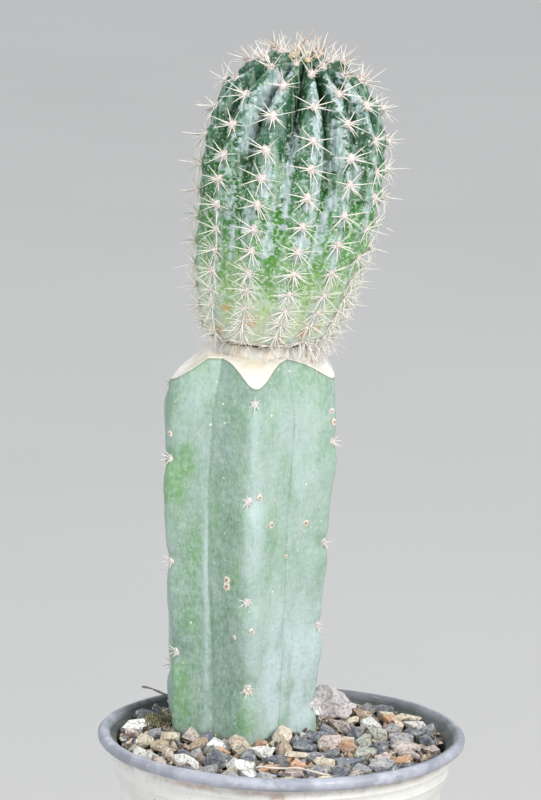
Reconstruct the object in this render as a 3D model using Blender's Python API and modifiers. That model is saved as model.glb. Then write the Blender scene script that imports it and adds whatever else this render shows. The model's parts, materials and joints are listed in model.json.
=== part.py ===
"""Potted echinopsis: a ribbed, spiny head grafted on a six-ribbed columnar rootstock, which stands in a
round nursery pot of potting soil under a top dressing of gravel.

Metres, +Z up. The origin is the centre of the pot's foot, on the surface that the pot stands on, and
-Y is the front. Five solids: pot, potting_soil, gravel, rootstock and echinopsis_head.
"""

import math
import random

import bmesh
import bpy
import numpy as np
from mathutils import Matrix, Vector

MM = 0.001
FULL_TURN = 2 * math.pi
FRONT = -math.pi / 2
SEAT_GAP = 0.3 * MM
MERGE = 0.01 * MM
SHARP_ANGLE = math.radians(35)
CURVE_STEPS = 24

# Pot: a thin tapered wall with a rolled lip, a collar below it, and a foot ring round the drain holes.
POT_HEIGHT = 88.0 * MM
POT_SIDES = 48
LIP_RADIUS = 50.0 * MM
LIP_WIDTH = 4.4 * MM
LIP_HEIGHT = 4.2 * MM
LIP_POINTS = 6
WALL = 1.2 * MM
COLLAR_TOP_RADIUS = 46.2 * MM
COLLAR_FOOT_RADIUS = 45.4 * MM
COLLAR_FOOT_HEIGHT = 76.5 * MM
BODY_TOP_RADIUS = 43.9 * MM
BODY_TOP_HEIGHT = 73.0 * MM
FOOT_RADIUS = 37.0 * MM
FOOT_RING_WIDTH = 3.0 * MM
FOOT_ROUNDING = 0.5 * MM
FLOOR_UNDERSIDE = 1.6 * MM
FLOOR_TOP = 3.0 * MM
DRAIN_HOLES = 6
DRAIN_SIDES = 8
DRAIN_RADIUS = 3.5 * MM
DRAIN_CIRCLE = 24.0 * MM

# Soil and gravel: the gravel lies level at the wall and is heaped against the stem.
BED_SIDES = 24
SOIL_TOP = 78.0 * MM
GRAVEL_EDGE_TOP = 83.6 * MM
GRAVEL_HEAP = 3.2 * MM
GRAVEL_HEAP_START = 22.0 * MM
GRAVEL_HEAP_REACH = 12.0 * MM
GRAVEL_BED_DROP = 1.8 * MM
STONE_SPACING = 7.6 * MM
STONE_RADII = (3.2 * MM, 4.3 * MM)
STONE_SIDES = 4
STONE_TAPER = 0.66
STONE_DEPTH = 5.0 * MM
STONE_TILT = math.radians(24)
STONE_WALL_CLEARANCE = 3.2 * MM
STONE_STEM_CLEARANCE = 19.0 * MM
CHIP_OFFSET = Vector((23.5 * MM, 5.0 * MM, 0.0))
CHIP_RADIUS = 6.0 * MM
CHIP_THICKNESS = 4.0 * MM

# Rootstock: six ribs, each shoulder pared down by a slanting cut, round a flat stump that carries the graft.
STEM_CENTRE = Vector((-12.0 * MM, 13.0 * MM, 0.0))
STEM_LEAN = math.radians(0.55)
STEM_BOTTOM = 58.0
STEM_OUTLINE = (
    (15.0, 58.0), (19.0, 66.0), (21.6, 86.0), (22.0, 100.0), (23.1, 118.0),
    (24.5, 140.0), (25.5, 163.0), (25.3, 178.0), (24.2, 190.0), (23.8, 196.0),
)
STEM_RIBS = 6
STEM_COLUMNS = 8
STEM_GROOVE = 4.4 * MM
STEM_TOP_GROOVE = 9.0 * MM
STEM_TOP_GROOVE_REACH = 20.0 * MM
STEM_AREOLE_FIRST = 100.0 * MM
STEM_AREOLE_SPACING = 26.0 * MM
STEM_AREOLES = 4
STEM_NOTCH = 0.5 * MM
STEM_SPINES = 3
STEM_SPINE_LENGTH = 2.3 * MM
STEM_SPINE_RADIUS = 0.26 * MM
STEM_SPINE_RISE = 0.75
GRAFT_HEIGHT = 194.0 * MM
SHOULDER_RADIUS = 12.6 * MM
SHOULDER_DROP = 4.0 * MM
SHOULDER_SLOPES = (27, 19, 30, 30, 36, 23)
STUMP_RADIUS = 13.2 * MM
STUMP_FOOT_RADIUS = 17.5 * MM
STUMP_HEIGHT = 8.0 * MM
STUMP_SIDES = 24

# Head: thirteen ribs on an egg-shaped body with a sunken crown. It leans to the right and forward.
HEAD_OFFSET = Vector((4.2 * MM, 0.0, 0.0))
HEAD_OUTLINE = (
    (0.0, 76.2), (3.8, 77.4), (7.4, 77.7), (12.9, 75.6), (18.1, 71.5), (21.7, 65.6), (23.8, 58.0), (24.5, 50.0),
    (24.4, 42.5), (23.5, 35.5), (22.8, 29.0), (22.0, 22.0), (20.8, 14.5), (19.1, 7.6), (17.8, 3.8), (16.0, 1.4),
    (12.8, 0.0),
)
HEAD_RIBS = 13
HEAD_COLUMNS = 4
HEAD_FIRST_RIB = FRONT + math.radians(11)
HEAD_GROOVE_LOW = 0.8 * MM
HEAD_GROOVE_HIGH = 5.4 * MM
HEAD_GROOVE_FULL_HEIGHT = 58.0 * MM
HEAD_GROOVE_SHARE = 0.34
HEAD_LEAN = Vector((math.radians(6.5), -math.radians(10.0)))
HEAD_BEND_HEIGHT = 24.0 * MM
HEAD_SWAY = 1.2 * MM
HEAD_SWAY_LENGTH = 85.0 * MM
AREOLE_FIRST = 4.5 * MM
AREOLE_SPACING_LOW = 4.0 * MM
AREOLE_SPACING_HIGH = 9.6 * MM
AREOLE_SPACING_CROWN = 4.4 * MM
AREOLE_SPACING_POWER = 0.7
AREOLE_CROWN_START = 86.0 * MM
TUBERCLE = 0.5 * MM
HEAD_SPINES = 3
HEAD_SPINE_LENGTH = 7.0 * MM
HEAD_SPINE_RADIUS = 0.3 * MM
HEAD_SPINE_TILT = math.radians(32)
SPINE_ROOT_DEPTH = 0.9 * MM
SPINE_FLOOR = 0.7 * MM


def clear_scene():
    for obj in list(bpy.data.objects):
        bpy.data.objects.remove(obj, do_unlink=True)


def make_collection(name, hidden=False):
    collection = bpy.data.collections.new(name)
    collection.hide_render = hidden
    bpy.context.scene.collection.children.link(collection)
    return collection


def make_material(name, colour, roughness):
    material = bpy.data.materials.new(name)
    material.use_nodes = True
    shader = material.node_tree.nodes["Principled BSDF"]
    shader.inputs["Base Color"].default_value = (*colour, 1.0)
    shader.inputs["Roughness"].default_value = roughness
    shader.inputs["Metallic"].default_value = 0.0
    return material


def add_object(name, mesh, collection):
    obj = bpy.data.objects.new(name, mesh)
    collection.objects.link(obj)
    if collection.hide_render:
        obj.hide_render = True
        obj.display_type = "WIRE"
    return obj


def add_part(name, mesh, collection, material):
    mesh.materials.clear()
    mesh.materials.append(material)
    mesh.shade_smooth()
    mesh.set_sharp_from_angle(angle=SHARP_ANGLE)
    return add_object(name, mesh, collection)


def add_shape(bm, name, collection):
    mesh = bpy.data.meshes.new(name)
    bm.to_mesh(mesh)
    bm.free()
    return add_object(name, mesh, collection)


def applied_mesh(obj):
    """The object's mesh with its modifiers applied. The object itself is removed."""
    bpy.context.view_layer.update()
    graph = bpy.context.evaluated_depsgraph_get()
    mesh = bpy.data.meshes.new_from_object(obj.evaluated_get(graph))
    bpy.data.objects.remove(obj, do_unlink=True)
    return mesh


def turned_mesh(outline, sides):
    """Sweeps an outline of (radius, height) points, listed down its outer side, once round the Z axis."""
    profile = bpy.data.meshes.new("profile")
    points = [(radius, 0.0, height) for radius, height in outline]
    profile.from_pydata(points, [(i, i + 1) for i in range(len(points) - 1)], [])
    obj = add_object("profile", profile, bpy.context.scene.collection)
    screw = obj.modifiers.new("turn", "SCREW")
    screw.axis = "Z"
    screw.angle = FULL_TURN
    screw.steps = screw.render_steps = sides
    screw.use_merge_vertices = True
    screw.merge_threshold = MERGE
    return applied_mesh(obj)


def boolean_mesh(mesh, operation, others, solver="EXACT"):
    """Joins or cuts a mesh with a collection's objects, which are then removed."""
    obj = add_object("blank", mesh, bpy.context.scene.collection)
    boolean = obj.modifiers.new("boolean", "BOOLEAN")
    boolean.operation = operation
    boolean.operand_type = "COLLECTION"
    boolean.collection = others
    boolean.solver = solver
    result = applied_mesh(obj)
    for other in list(others.objects):
        bpy.data.objects.remove(other, do_unlink=True)
    return result


def main_body(mesh):
    """Drops any crumb that a Boolean left loose beside the body."""
    bm = bmesh.new()
    bm.from_mesh(mesh)
    bmesh.ops.triangulate(bm, faces=bm.faces)
    left, bodies = set(bm.faces), []
    while left:
        reached = [left.pop()]
        for face in reached:
            near = {other for edge in face.edges for other in edge.link_faces} & left
            left -= near
            reached.extend(near)
        bodies.append(reached)
    bodies.sort(key=len)
    crumbs = [face for body in bodies[:-1] for face in body]
    bmesh.ops.delete(bm, geom=crumbs, context="FACES")
    bm.to_mesh(mesh)
    bm.free()
    return mesh


def smooth_step(value):
    value = min(1.0, max(0.0, value))
    return value * value * (3 - 2 * value)


def fine_curve(points):
    """Rows of radius, height and distance along a Catmull-Rom curve through the points."""
    points = np.array([points[0], *points, points[-1]]) * MM
    t = np.linspace(0, 1, CURVE_STEPS, endpoint=False)[:, None]
    spans = []
    for a, b, c, d in zip(points, points[1:], points[2:], points[3:]):
        square, cube = 2 * a - 5 * b + 4 * c - d, 3 * b - a - 3 * c + d
        spans.append(0.5 * (2 * b + (c - a) * t + square * t ** 2 + cube * t ** 3))
    curve = np.vstack([*spans, points[-1:]])
    steps = np.linalg.norm(np.diff(curve, axis=0), axis=1)
    return np.column_stack([curve, np.concatenate([[0.0], np.cumsum(steps)])])


def outward(meridian, index):
    """Unit normal (radius, height) of a meridian that runs down from the crown."""
    before = meridian[max(index - 1, 0)]
    after = meridian[min(index + 1, len(meridian) - 1)]
    run, drop = after[0] - before[0], after[1] - before[1]
    length = math.hypot(run, drop)
    return -drop / length, run / length


def skin_frame(angle, normal):
    """Outward, sideways and upward unit vectors of the skin at an angle round the axis."""
    out = Vector((normal[0] * math.cos(angle), normal[0] * math.sin(angle), normal[1]))
    side = Vector((-math.sin(angle), math.cos(angle), 0.0))
    return out, side, out.cross(side)


def ribbed_mesh(meridian, ribs, columns, first_rib, groove, crest_rise):
    """A turned body whose skin is drawn in along its normal between the rib crests. groove(level) is the depth
    of the grooves at a meridian point, and crest_rise(level, rib) how far a crest stands out there."""
    mesh = turned_mesh(meridian, ribs * columns)
    for vertex in mesh.vertices:
        radius, height = math.hypot(vertex.co.x, vertex.co.y), vertex.co.z
        if radius < MERGE:
            continue
        level = min(range(len(meridian)), key=lambda i: math.dist(meridian[i], (radius, height)))
        angle = math.atan2(vertex.co.y, vertex.co.x)
        phase = (angle - first_rib) * ribs / FULL_TURN
        rib = round(phase)
        shift = -groove(level) * (1 - math.cos(math.pi * (phase - rib)))
        if abs(phase - rib) * columns < 0.5:
            shift += crest_rise(level, rib % ribs)
        normal = outward(meridian, level)
        radius += normal[0] * shift
        height += normal[1] * shift
        vertex.co = (radius * math.cos(angle), radius * math.sin(angle), height)
    return mesh


def add_spine(collection, root, direction, length, radius):
    """A three-sided needle along a direction, its root sunk below the skin."""
    turn = direction.to_track_quat("Z", "Y").to_matrix().to_4x4()
    middle = Matrix.Translation((0, 0, length / 2))
    bm = bmesh.new()
    bmesh.ops.create_cone(
        bm, cap_ends=True, segments=3, radius1=radius, radius2=0.0, depth=length,
        matrix=Matrix.Translation(root) @ turn @ middle)
    bmesh.ops.dissolve_degenerate(bm, dist=MERGE, edges=bm.edges)
    add_shape(bm, "spine", collection)


def inner_wall(height):
    """Radius of the pot's inner face at a height."""
    heights = (0.0, BODY_TOP_HEIGHT, COLLAR_FOOT_HEIGHT, POT_HEIGHT - LIP_HEIGHT)
    radii = (FOOT_RADIUS, BODY_TOP_RADIUS, COLLAR_FOOT_RADIUS, COLLAR_TOP_RADIUS)
    return float(np.interp(height, heights, radii)) - WALL


def lip_arc():
    """Points over the rolled lip, an ellipse in section, from its inner side to its underside."""
    points = []
    for angle in np.linspace(math.pi, -math.pi / 3, LIP_POINTS):
        points.append((
            LIP_RADIUS - LIP_WIDTH / 2 * (1 - math.cos(angle)),
            POT_HEIGHT - LIP_HEIGHT / 2 * (1 - math.sin(angle)),
        ))
    return points


def build_pot(collection, cutters, material):
    lip_foot = POT_HEIGHT - LIP_HEIGHT
    ring_inside = FOOT_RADIUS - FOOT_RING_WIDTH
    levels = (FLOOR_TOP, BODY_TOP_HEIGHT, COLLAR_FOOT_HEIGHT, lip_foot)
    inside = [(inner_wall(height), height) for height in levels]
    outside = [
        (COLLAR_TOP_RADIUS, lip_foot),
        (COLLAR_FOOT_RADIUS, COLLAR_FOOT_HEIGHT),
        (BODY_TOP_RADIUS, BODY_TOP_HEIGHT),
        (FOOT_RADIUS, FOOT_ROUNDING),
        (FOOT_RADIUS - FOOT_ROUNDING, 0.0),
        (ring_inside, 0.0),
        (ring_inside - FOOT_ROUNDING, FLOOR_UNDERSIDE),
        (0.0, FLOOR_UNDERSIDE),
    ]
    mesh = turned_mesh([(0.0, FLOOR_TOP), *inside, *lip_arc(), *outside], POT_SIDES)
    for i in range(DRAIN_HOLES):
        angle = FULL_TURN * (i + 0.5) / DRAIN_HOLES
        centre = Vector((math.cos(angle), math.sin(angle), 0.0)) * DRAIN_CIRCLE
        bm = bmesh.new()
        bmesh.ops.create_cone(
            bm, cap_ends=True, segments=DRAIN_SIDES, radius1=DRAIN_RADIUS, radius2=DRAIN_RADIUS,
            depth=4 * FLOOR_TOP, matrix=Matrix.Translation(centre))
        add_shape(bm, "drain_hole", cutters)
    add_part("pot", boolean_mesh(mesh, "DIFFERENCE", cutters), collection, material)


def stem_place():
    return Matrix.Translation(STEM_CENTRE) @ Matrix.Rotation(STEM_LEAN, 4, "Y")


def stem_areole_heights(rib):
    """Areole heights on a rib. Those of neighbouring ribs lie half a step apart."""
    first = STEM_AREOLE_FIRST + (rib % 2) * STEM_AREOLE_SPACING / 2
    return [first + STEM_AREOLE_SPACING * i for i in range(STEM_AREOLES - rib % 2)]


def stem_meridian(grown):
    """The crest line from the top down, with a point at each areole, widened by grown."""
    curve = fine_curve(STEM_OUTLINE)
    heights = {point[1] * MM for point in STEM_OUTLINE if not 90 < point[1] < 180}
    heights.update(stem_areole_heights(0), stem_areole_heights(1))
    line = [(float(np.interp(height, curve[:, 1], curve[:, 0])) + grown, height) for height in sorted(heights)]
    line.reverse()
    return [(0.0, line[0][1]), *line, (0.0, line[-1][1])]


def stem_blank(grown=0.0):
    meridian = stem_meridian(grown)
    groove_start = GRAFT_HEIGHT - STEM_TOP_GROOVE_REACH

    def groove(level):
        share = smooth_step((meridian[level][1] - groove_start) / STEM_TOP_GROOVE_REACH)
        return STEM_GROOVE + (STEM_TOP_GROOVE - STEM_GROOVE) * share

    def notch(level, rib):
        return -STEM_NOTCH if meridian[level][1] in stem_areole_heights(rib) else 0.0

    return ribbed_mesh(meridian, STEM_RIBS, STEM_COLUMNS, FRONT, groove, notch)


def stem_hole(collection):
    """A cutter for the plain hole that the stem stands in: the stem grown by the seat gap."""
    hole = add_object("hole", stem_blank(SEAT_GAP), collection)
    hole.matrix_world = Matrix.Translation((0, 0, -SEAT_GAP)) @ stem_place()


def pare_shoulders(mesh):
    """Cuts the stem off flat at the graft and slices each rib's shoulder with a slanting plane."""
    up = Vector((0, 0, 1))
    cuts = [(up * (GRAFT_HEIGHT - SEAT_GAP), up)]
    for rib, slope in enumerate(SHOULDER_SLOPES):
        angle = FRONT + FULL_TURN * rib / STEM_RIBS
        out = Vector((math.cos(angle), math.sin(angle), 0))
        tilt = math.radians(slope)
        cuts.append((out * SHOULDER_RADIUS + up * (GRAFT_HEIGHT - SHOULDER_DROP),
                     out * math.sin(tilt) + up * math.cos(tilt)))
    bm = bmesh.new()
    bm.from_mesh(mesh)
    for point, normal in cuts:
        parts = bm.verts[:] + bm.edges[:] + bm.faces[:]
        bmesh.ops.bisect_plane(bm, geom=parts, dist=MERGE, plane_co=point, plane_no=normal, clear_outer=True)
        bmesh.ops.holes_fill(bm, edges=[edge for edge in bm.edges if edge.is_boundary])
    bmesh.ops.remove_doubles(bm, verts=bm.verts, dist=MERGE)
    bmesh.ops.triangulate(bm, faces=bm.faces)
    bmesh.ops.recalc_face_normals(bm, faces=bm.faces)
    bm.to_mesh(mesh)
    bm.free()


def add_stump(collection):
    """The flat cut under the graft, on a steep cone of its own."""
    top = GRAFT_HEIGHT - SEAT_GAP
    foot = top - STUMP_HEIGHT
    mesh = turned_mesh([(0.0, top), (STUMP_RADIUS, top), (STUMP_FOOT_RADIUS, foot), (0.0, foot)], STUMP_SIDES)
    add_object("stump", mesh, collection).location = HEAD_OFFSET


def add_stem_spines(collection):
    curve = fine_curve(STEM_OUTLINE)
    for rib in range(STEM_RIBS):
        out, side, up = skin_frame(FRONT + FULL_TURN * rib / STEM_RIBS, (1.0, 0.0))
        for height in stem_areole_heights(rib):
            radius = float(np.interp(height, curve[:, 1], curve[:, 0])) - STEM_NOTCH
            root = out * (radius - SPINE_ROOT_DEPTH) + Vector((0, 0, height))
            for i in range(STEM_SPINES):
                turn = FULL_TURN * (i + 0.25) / STEM_SPINES
                direction = out * STEM_SPINE_RISE + side * math.cos(turn) + up * math.sin(turn)
                length = STEM_SPINE_LENGTH + SPINE_ROOT_DEPTH
                add_spine(collection, root, direction.normalized(), length, STEM_SPINE_RADIUS)


def build_rootstock(collection, repeats, material):
    mesh = stem_blank()
    pare_shoulders(mesh)
    add_stump(repeats)
    add_stem_spines(repeats)
    mesh = main_body(boolean_mesh(mesh, "UNION", repeats, "MANIFOLD"))
    stem = add_part("rootstock", mesh, collection, material)
    stem.matrix_world = stem_place()


def head_meridian():
    """The crest line from the crown down, with a point at each areole of either set of ribs."""
    curve = fine_curve(HEAD_OUTLINE)
    total = curve[-1, 2]
    here = AREOLE_FIRST
    stations = []
    while here < total - 0.7 * AREOLE_SPACING_CROWN:
        stations.append(total - here)
        grown = (here / AREOLE_CROWN_START) ** AREOLE_SPACING_POWER
        crown = smooth_step((here - AREOLE_CROWN_START) / (total - AREOLE_CROWN_START))
        spacing = AREOLE_SPACING_LOW + (AREOLE_SPACING_HIGH - AREOLE_SPACING_LOW) * grown
        here += (spacing + (AREOLE_SPACING_CROWN - spacing) * crown) / 2
    stations = [0.0, *reversed(stations), total]
    radii = np.interp(stations, curve[:, 2], curve[:, 0])
    heights = np.interp(stations, curve[:, 2], curve[:, 1])
    return [*zip(radii.tolist(), heights.tolist()), (0.0, 0.0)]


def has_areole(meridian, level, rib):
    """Areoles sit at every second level of a rib, and neighbouring ribs take turns."""
    return 1 <= level <= len(meridian) - 3 and (level + rib) % 2 == 0


def head_groove(radius, height):
    share = smooth_step(height / HEAD_GROOVE_FULL_HEIGHT)
    return min(HEAD_GROOVE_LOW + (HEAD_GROOVE_HIGH - HEAD_GROOVE_LOW) * share, HEAD_GROOVE_SHARE * radius)


def add_areole_spines(collection, meridian, level, rib, draw):
    angle = HEAD_FIRST_RIB + FULL_TURN * rib / HEAD_RIBS
    out, side, up = skin_frame(angle, outward(meridian, level))
    radius, height = meridian[level]
    root = Vector((radius * math.cos(angle), radius * math.sin(angle), height)) - out * SPINE_ROOT_DEPTH
    for i in range(HEAD_SPINES):
        turn = FULL_TURN * (i + 0.5 + draw.uniform(-0.12, 0.12)) / HEAD_SPINES
        tilt = HEAD_SPINE_TILT + draw.uniform(-0.1, 0.15)
        direction = (side * math.cos(turn) + up * math.sin(turn)) * math.cos(tilt) + out * math.sin(tilt)
        length = HEAD_SPINE_LENGTH * draw.uniform(0.85, 1.1) + SPINE_ROOT_DEPTH
        direction.z = max(direction.z, (SPINE_FLOOR - root.z) / length)
        add_spine(collection, root, direction.normalized(), length, HEAD_SPINE_RADIUS)


def leaned(point):
    """Bends the upright head over to the right and forward, and sways its middle to the right. Its foot stays
    flat on the graft."""
    toward = HEAD_LEAN.normalized().to_3d()
    bend = HEAD_BEND_HEIGHT / HEAD_LEAN.length
    low = min(max(point.z, 0.0), HEAD_BEND_HEIGHT)
    angle = low / bend
    along = toward * math.sin(angle) + Vector((0, 0, math.cos(angle)))
    outer = toward * math.cos(angle) - Vector((0, 0, math.sin(angle)))
    axis = toward * bend * (1 - math.cos(angle)) + Vector((0, 0, bend * math.sin(angle)))
    across = point.dot(toward)
    sideways = Vector((point.x, point.y, 0)) - toward * across
    sway = Vector((HEAD_SWAY * math.sin(math.pi * point.z / HEAD_SWAY_LENGTH), 0, 0))
    return axis + along * (point.z - low) + sideways + outer * across + sway


def build_head(collection, repeats, material):
    meridian = head_meridian()

    def groove(level):
        return head_groove(*meridian[level])

    def tubercle(level, rib):
        return TUBERCLE if has_areole(meridian, level, rib) else 0.0

    mesh = ribbed_mesh(meridian, HEAD_RIBS, HEAD_COLUMNS, HEAD_FIRST_RIB, groove, tubercle)
    draw = random.Random(13)
    for level in range(len(meridian)):
        for rib in range(HEAD_RIBS):
            if has_areole(meridian, level, rib):
                add_areole_spines(repeats, meridian, level, rib, draw)
    mesh = main_body(boolean_mesh(mesh, "UNION", repeats, "MANIFOLD"))
    for vertex in mesh.vertices:
        vertex.co = leaned(vertex.co)
    head = add_part("echinopsis_head", mesh, collection, material)
    head.matrix_world = stem_place() @ Matrix.Translation(HEAD_OFFSET + Vector((0, 0, GRAFT_HEIGHT)))


def build_soil(collection, cutters, material):
    heights = (SOIL_TOP, COLLAR_FOOT_HEIGHT, BODY_TOP_HEIGHT, FLOOR_TOP + SEAT_GAP)
    side = [(inner_wall(height) - SEAT_GAP, height) for height in heights]
    mesh = turned_mesh([(0.0, SOIL_TOP), *side, (0.0, FLOOR_TOP + SEAT_GAP)], BED_SIDES)
    stem_hole(cutters)
    add_part("potting_soil", boolean_mesh(mesh, "DIFFERENCE", cutters), collection, material)


def gravel_top(point):
    """Height of the gravel's surface: level at the wall, heaped round the stem."""
    away = (point - STEM_CENTRE).to_2d().length - GRAVEL_HEAP_START
    return GRAVEL_EDGE_TOP + GRAVEL_HEAP * math.exp(-max(away, 0.0) / GRAVEL_HEAP_REACH)


def add_stone(collection, centre, radius, height, turn, draw):
    """An angular chip: a low tapering block, its corners shifted at random."""
    bm = bmesh.new()
    bmesh.ops.create_cone(
        bm, cap_ends=True, segments=STONE_SIDES, radius1=radius, radius2=radius * STONE_TAPER, depth=height)
    for vertex in bm.verts:
        vertex.co = turn @ Vector([c * draw.uniform(0.8, 1.12) for c in vertex.co]) + centre
    bmesh.ops.triangulate(bm, faces=bm.faces)
    add_shape(bm, "stone", collection)


def add_stones(collection, reach):
    """Stones spread evenly on a spiral out to a radius, each tilted a little at random."""
    draw = random.Random(7)
    golden = math.pi * (3 - math.sqrt(5))
    count = round(math.pi * (reach / STONE_SPACING) ** 2 * 1.28)
    for i in range(count):
        radius = math.sqrt((i + 0.5) / count) * reach
        centre = Vector((radius * math.cos(golden * i), radius * math.sin(golden * i), 0.0))
        if (centre - STEM_CENTRE).to_2d().length < STONE_STEM_CLEARANCE:
            continue
        tilt = Vector((draw.uniform(-1, 1), draw.uniform(-1, 1), 0)).normalized()
        turn = Matrix.Rotation(draw.uniform(0, STONE_TILT), 3, tilt)
        turn = turn @ Matrix.Rotation(draw.uniform(0, math.pi), 3, "Z")
        centre.z = gravel_top(centre) - STONE_DEPTH / 2
        add_stone(collection, centre, draw.uniform(*STONE_RADII), STONE_DEPTH, turn, draw)
    centre = STEM_CENTRE + CHIP_OFFSET
    centre.z = gravel_top(centre) + CHIP_RADIUS / 2
    turn = Matrix.Rotation(math.radians(62), 3, "X") @ Matrix.Rotation(math.radians(12), 3, "Y")
    add_stone(collection, centre, CHIP_RADIUS, CHIP_THICKNESS, turn, draw)


def build_gravel(collection, cutters, repeats, material):
    """A bed with chips standing out of it, trimmed to the pot's wall, with a hole for the stem."""
    foot_height = SOIL_TOP + SEAT_GAP
    rim = inner_wall(GRAVEL_EDGE_TOP) - SEAT_GAP
    foot = inner_wall(foot_height) - SEAT_GAP
    bed_top = GRAVEL_EDGE_TOP - GRAVEL_BED_DROP
    bed_foot = foot_height - MM
    mesh = turned_mesh([(0.0, bed_top), (rim, bed_top), (rim, bed_foot), (0.0, bed_foot)], BED_SIDES)
    add_stones(repeats, rim - STONE_WALL_CLEARANCE)
    mesh = boolean_mesh(mesh, "UNION", repeats, "MANIFOLD")
    top = GRAFT_HEIGHT
    trim = [(0.0, top), (rim, top), (rim, GRAVEL_EDGE_TOP), (foot, foot_height), (0.0, foot_height)]
    add_object("trim", turned_mesh(trim, BED_SIDES), cutters)
    mesh = boolean_mesh(mesh, "INTERSECT", cutters, "MANIFOLD")
    stem_hole(cutters)
    mesh = main_body(boolean_mesh(mesh, "DIFFERENCE", cutters, "MANIFOLD"))
    add_part("gravel", mesh, collection, material)


def build():
    clear_scene()
    plant = make_collection("potted_echinopsis")
    cutters = make_collection("cutters", hidden=True)
    repeats = make_collection("repeats", hidden=True)
    build_pot(plant, cutters, make_material("pot_plastic", (0.82, 0.79, 0.74), 0.45))
    build_soil(plant, cutters, make_material("potting_mix", (0.05, 0.035, 0.025), 0.95))
    build_gravel(plant, cutters, repeats, make_material("gravel_chips", (0.46, 0.42, 0.37), 0.85))
    build_rootstock(plant, repeats, make_material("stem_skin", (0.30, 0.48, 0.38), 0.5))
    build_head(plant, repeats, make_material("head_skin", (0.10, 0.24, 0.11), 0.5))


build()
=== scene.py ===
import json
import math
from itertools import combinations

import bpy
import numpy as np
from mathutils import Matrix, Vector

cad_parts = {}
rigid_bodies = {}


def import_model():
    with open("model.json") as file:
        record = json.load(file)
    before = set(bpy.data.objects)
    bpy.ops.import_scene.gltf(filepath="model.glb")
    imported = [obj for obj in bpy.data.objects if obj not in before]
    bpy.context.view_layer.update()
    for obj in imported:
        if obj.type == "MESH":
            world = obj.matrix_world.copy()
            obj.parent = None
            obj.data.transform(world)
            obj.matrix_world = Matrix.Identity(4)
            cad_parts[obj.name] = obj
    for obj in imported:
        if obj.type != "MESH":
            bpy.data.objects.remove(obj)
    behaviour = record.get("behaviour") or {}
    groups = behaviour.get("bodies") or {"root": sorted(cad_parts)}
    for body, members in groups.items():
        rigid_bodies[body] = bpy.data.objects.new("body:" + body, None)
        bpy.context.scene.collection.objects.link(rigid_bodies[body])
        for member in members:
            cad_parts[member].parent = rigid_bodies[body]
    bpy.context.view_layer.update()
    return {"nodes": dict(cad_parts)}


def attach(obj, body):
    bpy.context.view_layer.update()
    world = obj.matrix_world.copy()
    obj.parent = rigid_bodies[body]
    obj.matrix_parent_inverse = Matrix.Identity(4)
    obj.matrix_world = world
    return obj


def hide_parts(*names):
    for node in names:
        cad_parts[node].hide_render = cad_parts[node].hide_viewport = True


# Frame and camera
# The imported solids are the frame, and the pieces below stand for its nodes. The camera stands 1.3 m in front
# of the pot and looks slightly down on it. Lengths are in millimetres, which a mesh turns into metres, and
# places in a material are in metres.
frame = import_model()
MM = 0.001

PICTURE_WIDTH, PICTURE_HEIGHT = 541, 800
RIM_CENTRE = Vector((0, 0, 85.9))
RIM_PIXEL = (281, 737)
CAMERA_DISTANCE = 1300
CAMERA_ELEVATION, CAMERA_ROLL = math.radians(15.2), math.radians(1.25)
FOCAL_PIXELS = 4771
SENSOR_WIDTH = 36


def add_camera():
    """Aims the camera so that the pot's rim falls on its place in the picture. It is pitched down, rolled,
    and its image is shifted by what is left."""
    aside, drop = RIM_PIXEL[0] - PICTURE_WIDTH / 2, RIM_PIXEL[1] - PICTURE_HEIGHT / 2
    data = bpy.data.cameras.new("camera")
    data.sensor_fit, data.sensor_width, data.clip_end = "AUTO", SENSOR_WIDTH, 20
    data.lens = FOCAL_PIXELS * SENSOR_WIDTH / PICTURE_HEIGHT
    data.shift_x = -(aside + drop * math.sin(CAMERA_ROLL)) / PICTURE_HEIGHT
    data.shift_y = drop * (1 - math.cos(CAMERA_ROLL)) / PICTURE_HEIGHT
    back = Vector((0, -math.cos(CAMERA_ELEVATION), math.sin(CAMERA_ELEVATION)))
    pitch = CAMERA_ELEVATION - math.atan(drop / FOCAL_PIXELS)
    camera = bpy.data.objects.new("camera", data)
    bpy.context.scene.collection.objects.link(camera)
    camera.matrix_world = (
        Matrix.Translation((RIM_CENTRE + CAMERA_DISTANCE * back) * MM)
        @ Matrix.Rotation(math.pi / 2 - pitch, 4, "X") @ Matrix.Rotation(CAMERA_ROLL, 4, "Z"))
    bpy.context.scene.camera = camera


add_camera()

# Pot
# A thin-walled round nursery pot, blow-moulded in cream plastic, with a rolled grey lip, a beaded collar and
# a foot ring. Its inside is dark. The pot stands on the floor and holds the soil.
POT_SIDES = 180
POT_HEIGHT = 88.0
LIP_RADIUS, LIP_WIDTH, LIP_HEIGHT = 50.0, 3.3, 3.5
LIP_START, LIP_STEPS = -84, 22
WALL = 1.2
FLOOR_TOP, FLOOR_UNDERSIDE = 3.0, 1.6
WALL_HEIGHTS = (0.0, 73.0, 76.5, 83.8)
WALL_RADII = (37.0, 43.9, 45.4, 46.2)
BEAD_HEIGHTS, BEAD_SECTION = (78.0, 81.2), ((-0.4, 0), (-0.18, 0.22), (0.18, 0.22), (0.4, 0))
FOOT_RING_WIDTH = 3.0
DRAIN_HOLES, DRAIN_CIRCLE, DRAIN_RADIUS, DRAIN_SIDES = 6, 24.0, 3.5, 24
STAIN_CENTRE = (-0.0002, -0.0463, 0.081)


def colour(red, green, blue):
    """Linear colour with full alpha of a display colour of 0 to 255: a power of 2.4, straight near black."""
    part = np.array([red, green, blue]) / 255
    return (*np.where(part < 0.04045, part / 12.92, ((part + 0.055) / 1.055) ** 2.4), 1.0)


def smooth_step(value, low=0.0, high=1.0):
    """0 up to low, 1 from high, and an S-shaped rise between them."""
    share = np.clip((value - low) / (high - low), 0, 1)
    return share * share * (3 - 2 * share)


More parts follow.
